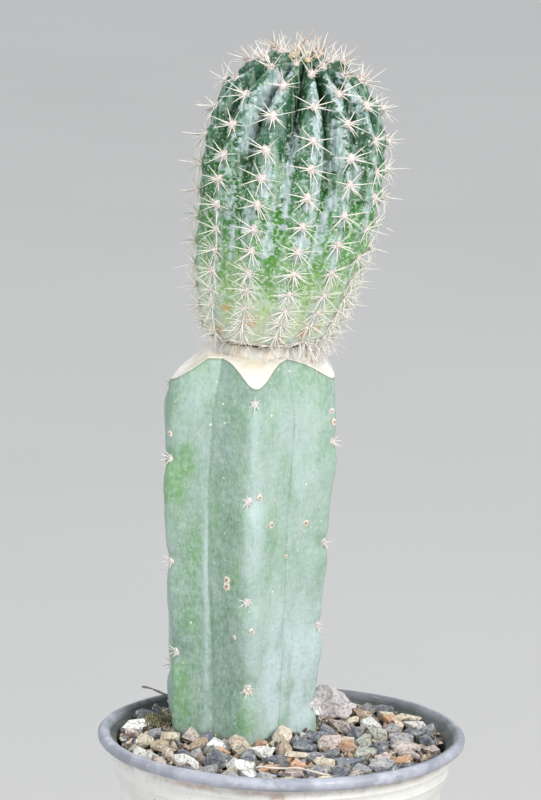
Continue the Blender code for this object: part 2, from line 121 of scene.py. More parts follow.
def bump_at(away, width):
    """A bell curve: 1 where away is 0, and near 0 beyond twice its width."""
    return np.exp(-(np.asarray(away) / width) ** 2)


def turns(count):
    """Angles in even steps round a full turn."""
    return np.linspace(0, 2 * math.pi, count, endpoint=False)


def polar(radius, angle, height):
    """Points at a radius, an angle and a height."""
    return np.stack(np.broadcast_arrays(radius * np.cos(angle), radius * np.sin(angle), height), -1)


def add_node(tree, kind, feeds=(), **options):
    """Adds a shader node with its settings. Each socket in feeds, by name or number, takes a fixed value or
    another node's output."""
    made = tree.nodes.new("ShaderNode" + kind)
    for option, value in options.items():
        setattr(made, option, value)
    for socket, value in dict(feeds).items():
        if isinstance(value, bpy.types.NodeSocket):
            tree.links.new(value, made.inputs[socket])
        else:
            made.inputs[socket].default_value = value
    return made


def worked(operation, first, *others):
    """Result of an operation on a mask and, one after another, on other masks or numbers."""
    for other in others:
        first = add_node(first.id_data, "Math", {0: first, 1: other}, operation=operation).outputs[0]
    return first


def times(*values):
    """Product of masks and numbers."""
    return worked("MULTIPLY", *values)


def plus(*values):
    """Sum of masks and numbers."""
    return worked("ADD", *values)


def rising(value, low, high, most=1.0):
    """Mask that climbs smoothly from 0 to most between low and high, or falls where low is the larger."""
    ends = {"From Min": low, "From Max": high, "To Min": 0.0, "To Max": most}
    if low > high:
        ends = {"From Min": high, "From Max": low, "To Min": most, "To Max": 0.0}
    feeds = {"Value": value, **ends}
    return add_node(value.id_data, "MapRange", feeds, interpolation_type="SMOOTHSTEP").outputs[0]


def laid_over(share, under, over):
    """Colour of one layer with another laid over it by a share. Each is a display colour or a socket."""
    feeds = {0: share}
    for socket, layer in ((6, under), (7, over)):
        feeds[socket] = colour(*layer) if isinstance(layer, tuple) else layer
    tree = next(value.id_data for value in feeds.values() if isinstance(value, bpy.types.NodeSocket))
    return add_node(tree, "Mix", feeds, data_type="RGBA").outputs[2]


def layers(base, *rows):
    """Colour of a base under more layers. Each row is a colour, then the masks and numbers of its share."""
    for over, *shares in rows:
        base = laid_over(times(*shares), base, over)
    return base


def by_height(value, *stops):
    """Colour read from a row of stops, each a place and a colour."""
    made = add_node(value.id_data, "ValToRGB", {"Fac": value})
    elements = made.color_ramp.elements
    while len(elements) < len(stops):
        elements.new(0.5)
    for element, (place, shade) in zip(elements, stops):
        element.position, element.color = place, colour(*shade)
    return made.outputs["Color"]


def mark(tree, name):
    """Value of a piece's own attribute."""
    return add_node(tree, "Attribute", attribute_name=name).outputs["Fac"]


def axes(place):
    """The three values of a place."""
    return add_node(place.id_data, "SeparateXYZ", {0: place}).outputs


def own_place(tree, up=1, across=1):
    """Place on the piece in metres. A pattern is drawn out along an axis whose factor is under 1."""
    place = add_node(tree, "TexCoord").outputs["Object"]
    if up == across:
        return place
    return add_node(tree, "Mapping", {"Vector": place, "Scale": (across, across, up)}).outputs[0]


def new_group(name, inputs, build):
    """A shader node group with a place and numbers as its inputs, and a mask as its output."""
    group = bpy.data.node_groups.new(name, "ShaderNodeTree")
    for socket in inputs:
        kind = "NodeSocketVector" if socket == "Place" else "NodeSocketFloat"
        group.interface.new_socket(socket, in_out="INPUT", socket_type=kind)
    group.interface.new_socket("Mask", in_out="OUTPUT", socket_type="NodeSocketFloat")
    given = group.nodes.new("NodeGroupInput").outputs
    group.links.new(build(group, given), group.nodes.new("NodeGroupOutput").inputs["Mask"])
    return group


def build_clouds(tree, given):
    """Fractal noise with its middle part spread to the full range."""
    feeds = {"Vector": given["Place"], "Scale": given["Scale"], "Detail": given["Detail"], "Roughness": 0.6}
    noise = add_node(tree, "TexNoise", feeds).outputs[0]
    spread = {"Value": noise, "From Min": given["Low"], "From Max": given["High"]}
    return add_node(tree, "MapRange", spread, interpolation_type="SMOOTHSTEP").outputs[0]


def build_specks(tree, given):
    """Round dots in the cells of a Voronoi pattern. Only a share of the cells holds one."""
    cells = add_node(tree, "TexVoronoi", {"Vector": given["Place"], "Scale": given["Scale"]}).outputs
    edge = {"Value": cells["Distance"], "From Min": times(given["Size"], 0.6), "From Max": given["Size"],
            "To Min": 1.0, "To Max": 0.0}
    dot = add_node(tree, "MapRange", edge).outputs[0]
    chance = add_node(tree, "SeparateColor", {0: cells["Color"]}).outputs[0]
    return times(dot, worked("LESS_THAN", chance, given["Share"]))


CLOUDS = new_group("clouds", ("Place", "Scale", "Detail", "Low", "High"), build_clouds)
SPECKS = new_group("specks", ("Place", "Scale", "Size", "Share"), build_specks)


def placed(group, place, **feeds):
    """Mask of a node group at a place, with its own values."""
    return add_node(place.id_data, "Group", {"Place": place, **feeds}, node_tree=group).outputs["Mask"]


def clouds(place, scale, low=0.4, high=0.6, detail=3):
    """Mask of clouds, scale of them to a metre. The noise from low to high is spread to the full range."""
    return placed(CLOUDS, place, Scale=scale, Detail=detail, Low=low, High=high)


def specks(place, scale, size, share):
    """Mask of dots of a size in a share of the cells, scale of them to a metre."""
    return placed(SPECKS, place, Scale=scale, Size=size, Share=share)


def new_material(name, roughness, specular=0.5):
    """A plain material of one Principled shader, with its node tree and the place on the piece."""
    material = bpy.data.materials.new(name)
    material.use_nodes = True
    inputs = material.node_tree.nodes["Principled BSDF"].inputs
    inputs["Roughness"].default_value = roughness
    inputs["Specular IOR Level"].default_value = specular
    return material, material.node_tree, own_place(material.node_tree)


def finished(material, base, relief=None, depth=0, roughness=None):
    """The material with its colour, relief (its depth in millimetres) and roughness joined to the shader."""
    tree = material.node_tree
    inputs = tree.nodes["Principled BSDF"].inputs
    tree.links.new(base, inputs["Base Color"])
    if relief is not None:
        bump = add_node(tree, "Bump", {"Height": relief, "Strength": 1.0, "Distance": depth * MM})
        tree.links.new(bump.outputs[0], inputs["Normal"])
    if roughness is not None:
        tree.links.new(roughness, inputs["Roughness"])
    return material


def round_faces(rows, columns, start=0):
    """Four-cornered faces between the rows of a grid whose last column joins its first."""
    row, column = np.meshgrid(np.arange(rows - 1), np.arange(columns), indexing="ij")
    here, after = start + row * columns, (column + 1) % columns
    corners = [here + column, here + after, here + after + columns, here + column + columns]
    return np.stack(corners, -1).reshape(-1, 4)


def closed_grid(grid):
    """Points and faces of a closed body. grid[row, column] runs up and counter-clockwise, and each end row is
    one point repeated, which becomes a pole with a fan of triangles."""
    rows, columns = grid.shape[:2]
    points = np.vstack([grid[0, :1], grid[1:-1].reshape(-1, 3), grid[-1, :1]])
    ring = np.arange(columns)
    after = np.roll(ring, -1)
    last = 1 + (rows - 3) * columns
    foot = np.stack([0 * ring, 1 + after, 1 + ring], -1)
    top = np.stack([last + ring, last + after, 0 * ring + len(points) - 1], -1)
    return points, [round_faces(rows - 2, columns, 1), foot, top]


def new_mesh(name, points, faces, marks=(), smooth=True):
    """Mesh of points in millimetres and arrays of face corners. A mark gives each point a value or colour."""
    mesh = bpy.data.meshes.new(name)
    corners = [face for part in faces for face in part.tolist()]
    mesh.from_pydata((points * MM).tolist(), [], corners)
    for title, values in dict(marks).items():
        values = np.asarray(values, dtype=np.float32)
        kind, field = ("FLOAT_COLOR", "color") if values.ndim == 2 else ("FLOAT", "value")
        mesh.attributes.new(title, kind, "POINT").data.foreach_set(field, values.ravel())
    mesh.polygons.foreach_set("use_smooth", [smooth] * len(corners))
    return mesh


def add_piece(name, node, made, finish=None, marks=(), smooth=True):
    """Adds a piece, made as a mesh or as points and faces. It rides on the root body and stands for a node of
    the frame, which it hides."""
    mesh = made if isinstance(made, bpy.types.Mesh) else new_mesh(name, *made, marks, smooth)
    piece = bpy.data.objects.new(name, mesh)
    bpy.context.scene.collection.objects.link(piece)
    if finish:
        mesh.materials.append(finish)
    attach(piece, "root")
    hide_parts(node)


def pot_outline():
    """Rows of radius and height, from the middle of the underside up the outer wall, over the lip and down
    the inner wall to the middle of the floor, and the finish of each: 0 is cream, 1 the lip and 2 the dark
    inside."""
    foot, ring = WALL_RADII[0], WALL_RADII[0] - FOOT_RING_WIDTH

    def wall_at(heights, aside=0.0):
        """Rows of the wall at these heights: its radius in a straight line between the known ones, and
        moved sideways."""
        return [(np.interp(height, WALL_HEIGHTS, WALL_RADII) + aside, height) for height in heights]

    outer = [(radius, FLOOR_UNDERSIDE) for radius in (0, 12, 29, ring - 0.9)]
    outer += [(ring - 0.3, 1.1), (ring, 0.2), (ring + 0.3, 0), (foot - 0.6, 0), (foot - 0.15, 0.2)]
    outer += [(foot, 0.6), *wall_at(np.linspace(4, 72, 18))]
    outer += [(43.85, 72.7), (44.0, 73.3), (44.5, 74.6), (45.1, 75.8), (45.35, 76.5)]
    for wall, height in wall_at(BEAD_HEIGHTS):
        outer += [(wall + rise, height + above) for above, rise in BEAD_SECTION]
    outer += [(46.15, 83.3), (46.25, 83.6)]
    lip = [(46.9, 83.95), (47.3, 84.3)]
    for angle in np.linspace(math.radians(LIP_START), math.pi, LIP_STEPS):
        lip.append((LIP_RADIUS - LIP_WIDTH / 2 * (1 - math.cos(angle)),
                    POT_HEIGHT - LIP_HEIGHT / 2 * (1 - math.sin(angle))))
    lip_foot = POT_HEIGHT - LIP_HEIGHT
    inner = wall_at((lip_foot + 0.6, 82, 79, 76.5, 75, 73, 68, 60, 50, 40, 30, 20, 12, 7, 4.2), -WALL)
    inner += [(35.4, FLOOR_TOP), (25, FLOOR_TOP), (0, FLOOR_TOP)]
    return np.array(outer + lip + inner), np.repeat([0, 1, 2], [len(outer), len(lip), len(inner)])


def cut_drain_holes(mesh):
    """Cuts the round drain holes through the floor with a Boolean, and takes its result as the mesh."""
    pot = bpy.data.objects.new("blank", mesh)
    bpy.context.scene.collection.objects.link(pot)
    cutters = bpy.data.collections.new("drain_cutters")
    reach, height = np.array([[0, DRAIN_RADIUS, DRAIN_RADIUS, 0], [-3, -3, 8, 8]])[..., None]
    for middle in turns(DRAIN_HOLES) + math.pi / DRAIN_HOLES:
        grid = polar(reach, turns(DRAIN_SIDES), height) + polar(DRAIN_CIRCLE, middle, 0)
        cutters.objects.link(bpy.data.objects.new("cutter", new_mesh("cutter", *closed_grid(grid))))
    cut = pot.modifiers.new("drain_holes", "BOOLEAN")
    cut.operation, cut.operand_type, cut.collection, cut.solver = "DIFFERENCE", "COLLECTION", cutters, "EXACT"
    bpy.context.view_layer.update()
    result = bpy.data.meshes.new_from_object(pot.evaluated_get(bpy.context.evaluated_depsgraph_get()))
    for gone in [pot, *cutters.objects]:
        bpy.data.objects.remove(gone, do_unlink=True)
    bpy.data.collections.remove(cutters)
    return result


def make_pot(finishes):
    """Turns the outline round the pot's axis. The wall waves by a few tenths of a millimetre, as thin plastic
    does, and the underside stays flat."""
    outline, finish = pot_outline()
    turn = turns(POT_SIDES)
    radius, height = outline[:, :1], outline[:, 1:] + 0 * turn
    wave = 0.12 * np.sin(3 * turn + 0.6) + 0.07 * np.sin(8 * turn + 1.9) + 0.04 * np.sin(19 * turn)
    radius = radius + (wave - 0.16) * smooth_step(height, 20, 86) * (radius > 30)
    height = height + 0.14 * np.sin(2 * turn + 0.9) * smooth_step(height, 82, 87) - 0.14 * (height > 87)
    mesh = new_mesh("pot", *closed_grid(polar(radius, turn, height)))
    for made in finishes:
        mesh.materials.append(made)
    bands = np.concatenate([np.repeat(finish[2:-1], POT_SIDES), np.zeros(POT_SIDES), np.full(POT_SIDES, 2)])
    mesh.polygons.foreach_set("material_index", bands.astype(np.int32))
    return cut_drain_holes(mesh)


def pot_cream():
    """Cream plastic, washed paler, with faint runs down the wall, dirt and painted shade under the lip, a
    rusty stain in front and fine specks."""
    material, tree, place = new_material("pot_cream", 0.42)
    height = axes(place)[2]
    away = add_node(tree, "VectorMath", {0: place, 1: STAIN_CENTRE}, operation="DISTANCE").outputs["Value"]
    base = layers(
        laid_over(clouds(place, 45), (221, 220, 215), (229, 228, 224)),
        ((196, 186, 168), clouds(own_place(tree, 0.12), 180, 0.5, 0.8), 0.12),
        # Two bands under the lip: dirt, and painted shade where the lip overhangs the wall.
        ((188, 166, 152), rising(height, 0.0815, 0.0828, 0.6), clouds(place, 60, 0.36, 0.6)),
        ((160, 138, 122), rising(height, 0.0795, 0.084, 0.5), clouds(place, 420, 0.46, 0.7)),
        ((150, 112, 92), rising(away, 0.0042, 0.0008, 0.55), clouds(place, 700, 0.36, 0.56, 5)),
        ((130, 106, 80), specks(place, 420, 0.12, 0.12)))
    return finished(material, base, clouds(place, 900, 0.3, 0.7), 0.02)


def pot_grey(name, body, worn, deep):
    """Grey plastic of the lip and the inside: scuffed pale where it is handled, dusty and dark where not. Its
    inner side is darker at the back and on the right, and its outer side a little on the left, from dirt and
    painted shade."""
    material, tree, place = new_material(name, 0.5)
    across, inward, _ = axes(place)
    radius = add_node(tree, "VectorMath", {0: own_place(tree, 0)}, operation="LENGTH").outputs["Value"]
    scuff, patch = clouds(place, 330, 0.5, 0.62, 6), clouds(place, 38, 0.42)
    # Dirt and painted shade on the inner side at the back and right, and on the outer side at the left.
    far = worked("MAXIMUM", rising(across, 0.0, 0.042), rising(inward, -0.012, 0.03))
    grime_and_shade = plus(times(far, rising(radius, 0.0489, 0.0474, 0.95)),
                 times(rising(across, 0.0, -0.045, 0.3), rising(radius, 0.0484, 0.0497)))
    base = layers(
        laid_over(clouds(place, 90, 0.35, 0.65), deep, body),
        (worn, scuff, patch, 0.5),
        ((88, 93, 92), grime_and_shade, rising(patch, -0.9, 0.6)),
        ((196, 190, 178), specks(place, 520, 0.14, 0.14)),
        (worn, clouds(own_place(tree, 6), 500, 0.6, 0.7), 0.3))
    return finished(material, base, scuff, 0.04, rising(scuff, -1.2, 1.6))


add_piece("pot_shell", "pot", make_pot([
    pot_cream(), pot_grey("lip_grey", (186, 189, 201), (218, 219, 229), (150, 154, 166)),
    pot_grey("inside_grey", (124, 127, 129), (164, 164, 162), (84, 86, 87))]))

# Potting soil
# Dark peat and bark mix with white grains of perlite, filled in loose up to the gravel. The node keeps its
# own shape: the gravel and the pot hide all but what shows through the drain holes.


def potting_mix():
    """Dark brown crumbs with scattered white grains."""
    material, _, place = new_material("potting_mix", 0.95)
    crumb = clouds(place, 500, 0.35, 0.65, 6)
    grains = specks(place, 260, 0.25, 0.2)
    base = laid_over(grains, laid_over(crumb, (34, 26, 20), (78, 60, 44)), (214, 208, 196))
    return finished(material, base, crumb, 0.6)


soil_node = frame["nodes"]["potting_soil"]
soil_node.data.materials.clear()
soil_node.data.materials.append(potting_mix())

# Rootstock
# The living six-ribbed stock, blue-green under a pale wax bloom. Its top was cut flat for the graft and each
# rib's shoulder pared down to a slope. The cuts have dried to a cream scar with a rolled white rim.
STEM_CENTRE = np.array([-12.0, 13.0, 0.0])
STEM_LEAN = math.radians(0.55)
STEM_FOOT = 58.0
STEM_OUTLINE = (
    (15.0, STEM_FOOT), (19.0, 66.0), (21.6, 86.0), (22.0, 100.0), (23.1, 118.0),
    (24.5, 140.0), (25.5, 163.0), (25.3, 178.0), (24.2, 190.0), (23.8, 196.0),
)
STEM_RIBS = 6
# Degrees of the crests, counter-clockwise from the front, and the further turn of all of them by height.
STEM_RIB_ANGLES = (0, 61.5, 121, 180, 240, 299, 360)
STEM_TWIST = ((90, 5.5), (101, 5.0), (126, 2.2), (153, 1.2), (180, 3.6), (194, 4.5))
STEM_COLUMNS, STEM_SIDE_ROWS, STEM_TOP_ROWS = 48, 190, 44
GROOVE, GROOVE_AT_TOP, GROOVE_REACH = 4.4, 7.4, 20.0
# Share of that depth in each groove, from the one right of the front on. The first face is almost flat.
GROOVE_SHARES = np.array([0.83, 1.0, 1.0, 1.0, 0.95, 0.9])
CREASE_DEPTH, CREASE_WIDTH = 0.22, 0.028
CREST_ROUNDING = np.radians([4, 9])
GRAFT_HEIGHT = 193.7
HEAD_ASIDE = 4.2
SHOULDER_RADIUS, SHOULDER_HEIGHT, SHOULDER_SPAN = 12.6, 190.9, 11.0
# The cut on each rib: slope in degrees, power by which it steepens outwards, degrees by which it is turned.
SHOULDER_CUTS = (
    (23.6, 2.7, 3.6), (23, 2.0, 3.6), (30, 2.0, 3.6), (30, 2.0, 3.6), (46, 0.9, 10.3), (35, 0.9, -24.5))
STUMP_RADIUS, STUMP_FOOT_RADIUS, STUMP_HEIGHT = 13.2, 17.5, 12.0
# Areole heights by rib, counter-clockwise from the front one. The three ribs at the back follow a step of 26.
STEM_AREOLES = (
    (101.2, 125.7, 153.5, 180.1), (93.9, 116.7, 140.0, 168.0), (100, 126, 152, 178),
    (113, 139, 165), (100, 126, 152, 178), (108.7, 133.9, 162.4),
)
# Cloudy patches of thick wax, of olive skin where the wax is thin, and of fresh green where it is rubbed off:
# degrees right of the front, height, half width in degrees, half height, strength. The pale patches right of
# the front are partly painted light, and the olive ones left of the front crest and low on the left are
# partly painted shade.
STEM_PATCHES = {
    "bloom": (
        (9, 118, 8, 24, 0.8), (30, 104, 18, 24, 1.6), (50, 100, 22, 24, 1.6), (6, 150, 7, 22, 1.1),
        (20, 168, 14, 16, 0.65), (40, 160, 18, 24, 0.7), (34, 182, 7, 10, 0.6), (-42, 178, 12, 8, 0.7),
        (-31, 125, 2.2, 34, 0.9), (-33, 165, 2.5, 14, 0.6), (4, 165, 4, 24, 0.8), (100, 140, 18, 30, 0.7),
        (150, 120, 16, 24, 0.8), (205, 150, 20, 26, 0.6), (250, 120, 16, 26, 0.7)),
    "dull": (
        (-15, 165, 9, 20, 0.7), (-13, 140, 9, 20, 0.95), (-12, 116, 9, 18, 0.9), (-8, 97, 13, 14, 1.2),
        (3, 184, 12, 4, 0.8), (-30, 104, 14, 20, 1.1), (-52, 100, 18, 24, 1.4), (-44, 88, 22, 14, 1.3),
        (80, 120, 8, 20, 0.6), (130, 160, 10, 20, 0.6), (180, 110, 12, 22, 0.7), (228, 160, 10, 22, 0.6),
        (290, 130, 10, 26, 0.5)),
    "fresh": (
        (-56, 157, 13, 9, 1.0), (-47, 162, 8, 7, 0.9), (-40, 136, 10, 8, 0.5), (-42, 118, 12, 9, 0.45),
        (-52, 97, 14, 12, 0.75), (-7, 134, 5, 7, 0.55), (3, 93, 9, 7, 0.8), (-24, 150, 6, 10, 0.4),
        (-46, 172, 10, 6, 0.4), (14, 175, 6, 8, 0.35), (22, 140, 7, 10, 0.35), (30, 128, 8, 10, 0.25),
        (110, 100, 12, 10, 0.5), (190, 150, 12, 10, 0.5), (265, 140, 10, 12, 0.4)),
}
LINE_STEPS = 24
EDGE_RANGE, HALVINGS = (150.0, 195.0), 30


def eased(first, last, value, low, high):
    """First up to low, last from high, and a smooth_step between them."""
    return first + (last - first) * smooth_step(value, low, high)


def smooth_line(points):
    """Rows of radius, height and distance along a Catmull-Rom curve through the points."""
    points = np.array([points[0], *points, points[-1]], dtype=float)
    t = np.linspace(0, 1, LINE_STEPS, endpoint=False)[:, None]
    spans = []
    for a, b, c, d in zip(points, points[1:], points[2:], points[3:]):
        square, cube = 2 * a - 5 * b + 4 * c - d, 3 * b - a - 3 * c + d
        spans.append(0.5 * (2 * b + (c - a) * t + square * t ** 2 + cube * t ** 3))
    curve = np.vstack([*spans, points[-1:]])
    steps = np.linalg.norm(np.diff(curve, axis=0), axis=1)
    return np.column_stack([curve, np.concatenate([[0.0], np.cumsum(steps)])])


STEM_LINE = smooth_line(STEM_OUTLINE)


def on_stem(points):
    """Places points that are given in the stock's own upright frame: leans them a little, then moves them."""
    x, y, z = np.moveaxis(points, -1, 0)
    cos, sin = math.cos(STEM_LEAN), math.sin(STEM_LEAN)
    return np.stack([x * cos + z * sin, y, z * cos - x * sin], -1) + STEM_CENTRE


def stem_turn(height):
    """Degrees by which the ribs are turned at a height."""
    return np.interp(height, *np.transpose(STEM_TWIST))


def stem_angle(place, height):
    """Angle from the front, counter-clockwise, of a place counted in ribs."""
    return np.radians(np.interp(place, np.arange(STEM_RIBS + 1), STEM_RIB_ANGLES) + stem_turn(height))


def stem_place(angle, height):
    """Place in ribs at an angle, the other way round from stem_angle."""
    degrees = (np.degrees(angle) - stem_turn(height)) % 360
    return np.interp(degrees, STEM_RIB_ANGLES, np.arange(STEM_RIBS + 1))


def stem_radius(angle, height):
    """Radius of the skin at an angle (from the front, counter-clockwise) and a height. From the rounded crest
    to the groove the section is a straight line, in polar form, with a fine crease in the groove itself. The
    crest dips at each areole and swells below it."""
    step = 2 * math.pi / STEM_RIBS
    place = stem_place(angle, height)
    rib = np.round(place)
    off = np.abs(place - rib) * step
    crest = np.interp(height, STEM_LINE[:, 1], STEM_LINE[:, 0])
    depth = GROOVE * GROOVE_SHARES[np.floor(place).astype(int) % STEM_RIBS]
    valley = crest - eased(depth, GROOVE_AT_TOP, height, GRAFT_HEIGHT - GROOVE_REACH, GRAFT_HEIGHT)
    round_by = eased(*CREST_ROUNDING, height, 176, 186)
    soft, most = np.hypot(off, round_by), np.hypot(step / 2, round_by)
    soft = (soft - round_by) / (most - round_by) * step / 2
    radius = crest * valley * math.sin(step / 2) / (crest * np.sin(soft) + valley * np.sin(step / 2 - soft))
    radius = radius - CREASE_DEPTH * bump_at(step / 2 - off, CREASE_WIDTH)
    for index, heights in enumerate(STEM_AREOLES):
        near = bump_at(off, math.radians(9)) * (rib % STEM_RIBS == index)
        for at in heights:
            swelling, dip = bump_at(height - at + 6.5, 5.0), bump_at(height - at, 2.6)
            radius = radius + near * (0.55 * swelling - 0.95 * dip)
    wander = 0.25 * np.sin(height / 9 + 2 * angle) + 0.15 * np.sin(height / 4.3 - 5 * angle)
    pits = 0.06 * np.sin(height * 1.9 + 9 * angle) * np.sin(height * 1.1 - 23 * angle)
    return radius + (wander + pits) * smooth_step(height, 80, 95)


def cut_height(x, y):
    """Height of the pared top over a point: the lowest of the slanting cuts, but not below the stump's cone,
    and nowhere above the flat cut."""
    cuts = np.full(np.shape(x), 1e3)
    for rib, (slope, curve, turn) in zip(STEM_RIB_ANGLES, SHOULDER_CUTS):
        angle = math.radians(rib + turn) - math.pi / 2
        away = (x * math.cos(angle) + y * math.sin(angle) - SHOULDER_RADIUS) / SHOULDER_SPAN
        drop = SHOULDER_SPAN * math.tan(math.radians(slope)) * np.sign(away) * np.abs(away) ** curve
        cuts = np.minimum(cuts, SHOULDER_HEIGHT - drop)
    from_axis = np.hypot(x - HEAD_ASIDE, y)
    stump = GRAFT_HEIGHT - (from_axis - STUMP_RADIUS) * STUMP_HEIGHT / (STUMP_FOOT_RADIUS - STUMP_RADIUS)
    return np.minimum(np.maximum(cuts, stump), GRAFT_HEIGHT)


def side_edge(angle):
    """Height at which the skin meets the pared top, found by halving the range."""
    low, high = (np.full_like(angle, end) for end in EDGE_RANGE)
    for _ in range(HALVINGS):
        middle = (low + high) / 2
        x, y, _ = polar(stem_radius(angle, middle), angle - math.pi / 2, middle).T
        below = middle < cut_height(x, y)
        low, high = np.where(below, middle, low), np.where(below, high, middle)
    return low


def patches_at(around, level, patches):
    """Strength of soft oval patches at a place given in degrees from the front and in height."""
    most = np.zeros(around.shape)
    for at_angle, at_height, wide, tall, strength in patches:
        away = (around - at_angle + 180) % 360 - 180
        most = np.maximum(most, strength * bump_at(np.hypot(away / wide, (level - at_height) / tall), 1.0))
    return most


def add_grid_piece(name, node, grid, finish, marks):
    """Adds a closed body of one grid, whose marks are grids too."""
    marks = {title: np.concatenate([values[0, :1], values[1:-1].ravel(), values[-1, :1]])
             for title, values in marks.items()}
    add_piece(name, node, closed_grid(grid), finish, marks)


def add_rootstock():
    """Side rows climb from the buried foot to the cut's edge, and top rows run from there inwards over the
    cut. The rim of the cut is rolled: it swells outwards just below the edge and upwards just inside it."""
    turn = turns(STEM_RIBS * STEM_COLUMNS)
    angle = turn - math.pi / 2
    edge = side_edge(turn)
    share = np.linspace(0, 1, STEM_SIDE_ROWS)[:, None]
    height = STEM_FOOT + (edge - STEM_FOOT) * np.interp(share, [0, 0.08, 1], [0, 0.17, 1])
    radius = stem_radius(turn + 0 * share, height)
    roll = bump_at(edge - height, 0.7) * smooth_step(height, 150, 160)
    flat = radius[-1] * (1 - np.linspace(0, 1, STEM_TOP_ROWS + 1)[1:, None] ** 1.35)
    x, y = flat * np.cos(angle), flat * np.sin(angle)
    from_edge = radius[-1] - flat
    ripple = 0.12 * np.sin(x * 1.7 + 1) * np.sin(y * 1.3) * smooth_step(from_edge, 0.5, 3)
    hollow = -0.3 * smooth_step(from_edge, 1.2, 4.5) * smooth_step(flat, 13.5, 17.5)
    rise = cut_height(x, y) + 0.1 * bump_at(from_edge - 0.5, 0.5) + ripple + hollow
    grid = np.concatenate([polar(0 * turn, turn, STEM_FOOT)[None], polar(radius + 0.1 * roll, angle, height),
                           polar(flat, angle, np.minimum(rise, GRAFT_HEIGHT))])
    cut, below = np.zeros(grid.shape[:2]), np.full(grid.shape[:2], 40.0)
    cut[1 + STEM_SIDE_ROWS:], below[1 + STEM_SIDE_ROWS:] = from_edge, 0
    below[1:1 + STEM_SIDE_ROWS] = edge - height
    around, level = np.degrees(turn) + 0 * grid[..., 0], grid[..., 2]
    place = stem_place(turn, level)
    marks = {"cut": cut, "below_cut": below, "groove": 2 * np.abs(place - np.round(place))}
    marks |= {title: patches_at(around, level, patches) for title, patches in STEM_PATCHES.items()}
    add_grid_piece("rootstock_body", "rootstock", on_stem(grid), stem_skin(), marks)


def stem_skin():
    """Grey-green skin under a frosty wax, with patches of thick wax, olive and fresh green, all broken up by
    clouds, under fine grain and pale pores. The pale patches right of the front are partly painted light, the
    olive ones left of the front crest and low on the left partly painted shade, and the crease in each groove
    is darkened as painted shade. The pared top is cream flesh with a yellow middle, duller in front, and a
    brown line round the graft."""
    material, tree, place = new_material("stem_skin", 0.6, 0.3)
    upright = own_place(tree, 0.35)
    cut, below, groove = mark(tree, "cut"), mark(tree, "below_cut"), mark(tree, "groove")
    torn, flesh = clouds(place, 260, 0.34, 0.62, 6), clouds(place, 240, 0.32, 0.68, 6)
    grain = clouds(upright, 1700, 0.34, 0.66, 4)
    fresh = rising(plus(mark(tree, "fresh"), times(torn, 0.35)), 0.35, 1.05)
    # Wax on the patches and the crests, partly painted light on the right of the front.
    frost_and_light = times(worked("MAXIMUM", mark(tree, "bloom"), rising(groove, 0.3, 0.0, 0.22)),
                  rising(clouds(upright, 210, 0.3, 0.62, 6), -0.5, 1.0))
    _, inward, height = axes(place)
    scar = layers(
        laid_over(flesh, (232, 229, 222), (243, 241, 237)),
        ((228, 206, 166), rising(cut, 3.0, 5.2), rising(cut, 9.6, 7.0), 0.4),
        ((190, 156, 124), clouds(own_place(tree, 0.4), 330, 0.6, 0.72, 5), 0.16),
        ((196, 186, 164), rising(inward, 0.005, -0.005, 0.36)))
    base = layers(
        laid_over(clouds(place, 70, 0.36, 0.64, 4), (120, 156, 124), (146, 170, 158)),
        ((168, 192, 170), clouds(upright, 300, 0.42, 0.6, 6), 0.28),
        # Olive skin, partly painted shade left of the front crest and low on the left.
        ((100, 130, 110), mark(tree, "dull"), rising(torn, -0.6, 1.0), 0.7),
        ((104, 156, 88), fresh, 0.85),
        ((191, 208, 210), frost_and_light, 0.82),
        ((184, 202, 200), clouds(place, 620, 0.47, 0.6, 8), 0.24),
        ((190, 206, 196), grain, 0.26),
        ((104, 134, 112), clouds(place, 1000, 0.5, 0.62, 6), 0.17),
        ((214, 226, 214), specks(place, 620, 0.2, 0.3), 0.4),
        ((224, 230, 220), specks(place, 230, 0.1, 0.35), 0.8),
        # Painted shade along the crease in each groove.
        ((96, 124, 100), rising(groove, 0.965, 1.0, 0.4)),
        ((126, 134, 108), rising(below, 1.1, 0.3, 0.7)),
        (scar, rising(below, 0.3, 0.1)),
        ((104, 74, 50), rising(height, 0.1932, 0.1937, 0.85)))
    return finished(material, base, plus(grain, times(flesh, 2.0)), 0.04, rising(frost_and_light, -2.2, 1.5))


add_rootstock()

# Corky scars, areoles and spines of the rootstock
# Old bites healed over with tan cork, as low warts with a dimple. Each areole on the crests is a small tuft
# of white wool with a star of short, stiff spines.
STEM_SPINES, STEM_SPINE_LENGTH, STEM_SPINE_RADIUS = 7, 2.9, 0.16
# Degrees right of the front, height and radius of each scar.
CORK_SPOTS = np.array([
    (-12.6, 131.3, 1.05), (-12.6, 129.4, 1.2), (8.6, 154.6, 0.95), (17.9, 146.7, 0.95), (47.0, 146.2, 0.95),
    (46.0, 143.6, 0.4), (33.0, 137.2, 0.6), (5.6, 117.8, 0.8), (-6.0, 115.6, 0.7), (5.0, 100.6, 1.35),
    (20.0, 153.4, 0.45), (63.0, 173.5, 1.1), (61.5, 176.4, 0.9), (-57.0, 169.3, 0.85),
])
WART_SIDES, WART_RINGS, WART_HEIGHT, WART_DIMPLE = 16, 7, 0.45, 0.45
# Brown of the cork on each ring of a wart, from its foot to its dimple: partly its own brown, partly painted
# shade.
WART_BROWN_AND_SHADE = np.array([1.0, 1.0, 0.6, 0.05, 0.0, 0.0, 0.15, 0.7, 1.0])
# Shares of a needle's length at which its points lie, and of its radius at those between the ends.
NEEDLE_STEPS, NEEDLE_SHAPE = np.array([0.0, 0.02, 0.5, 0.85, 1.0]), np.array([[1.15, 0.8, 0.42]])
NEEDLE_SIDES = 5
draw = np.random.default_rng(5)


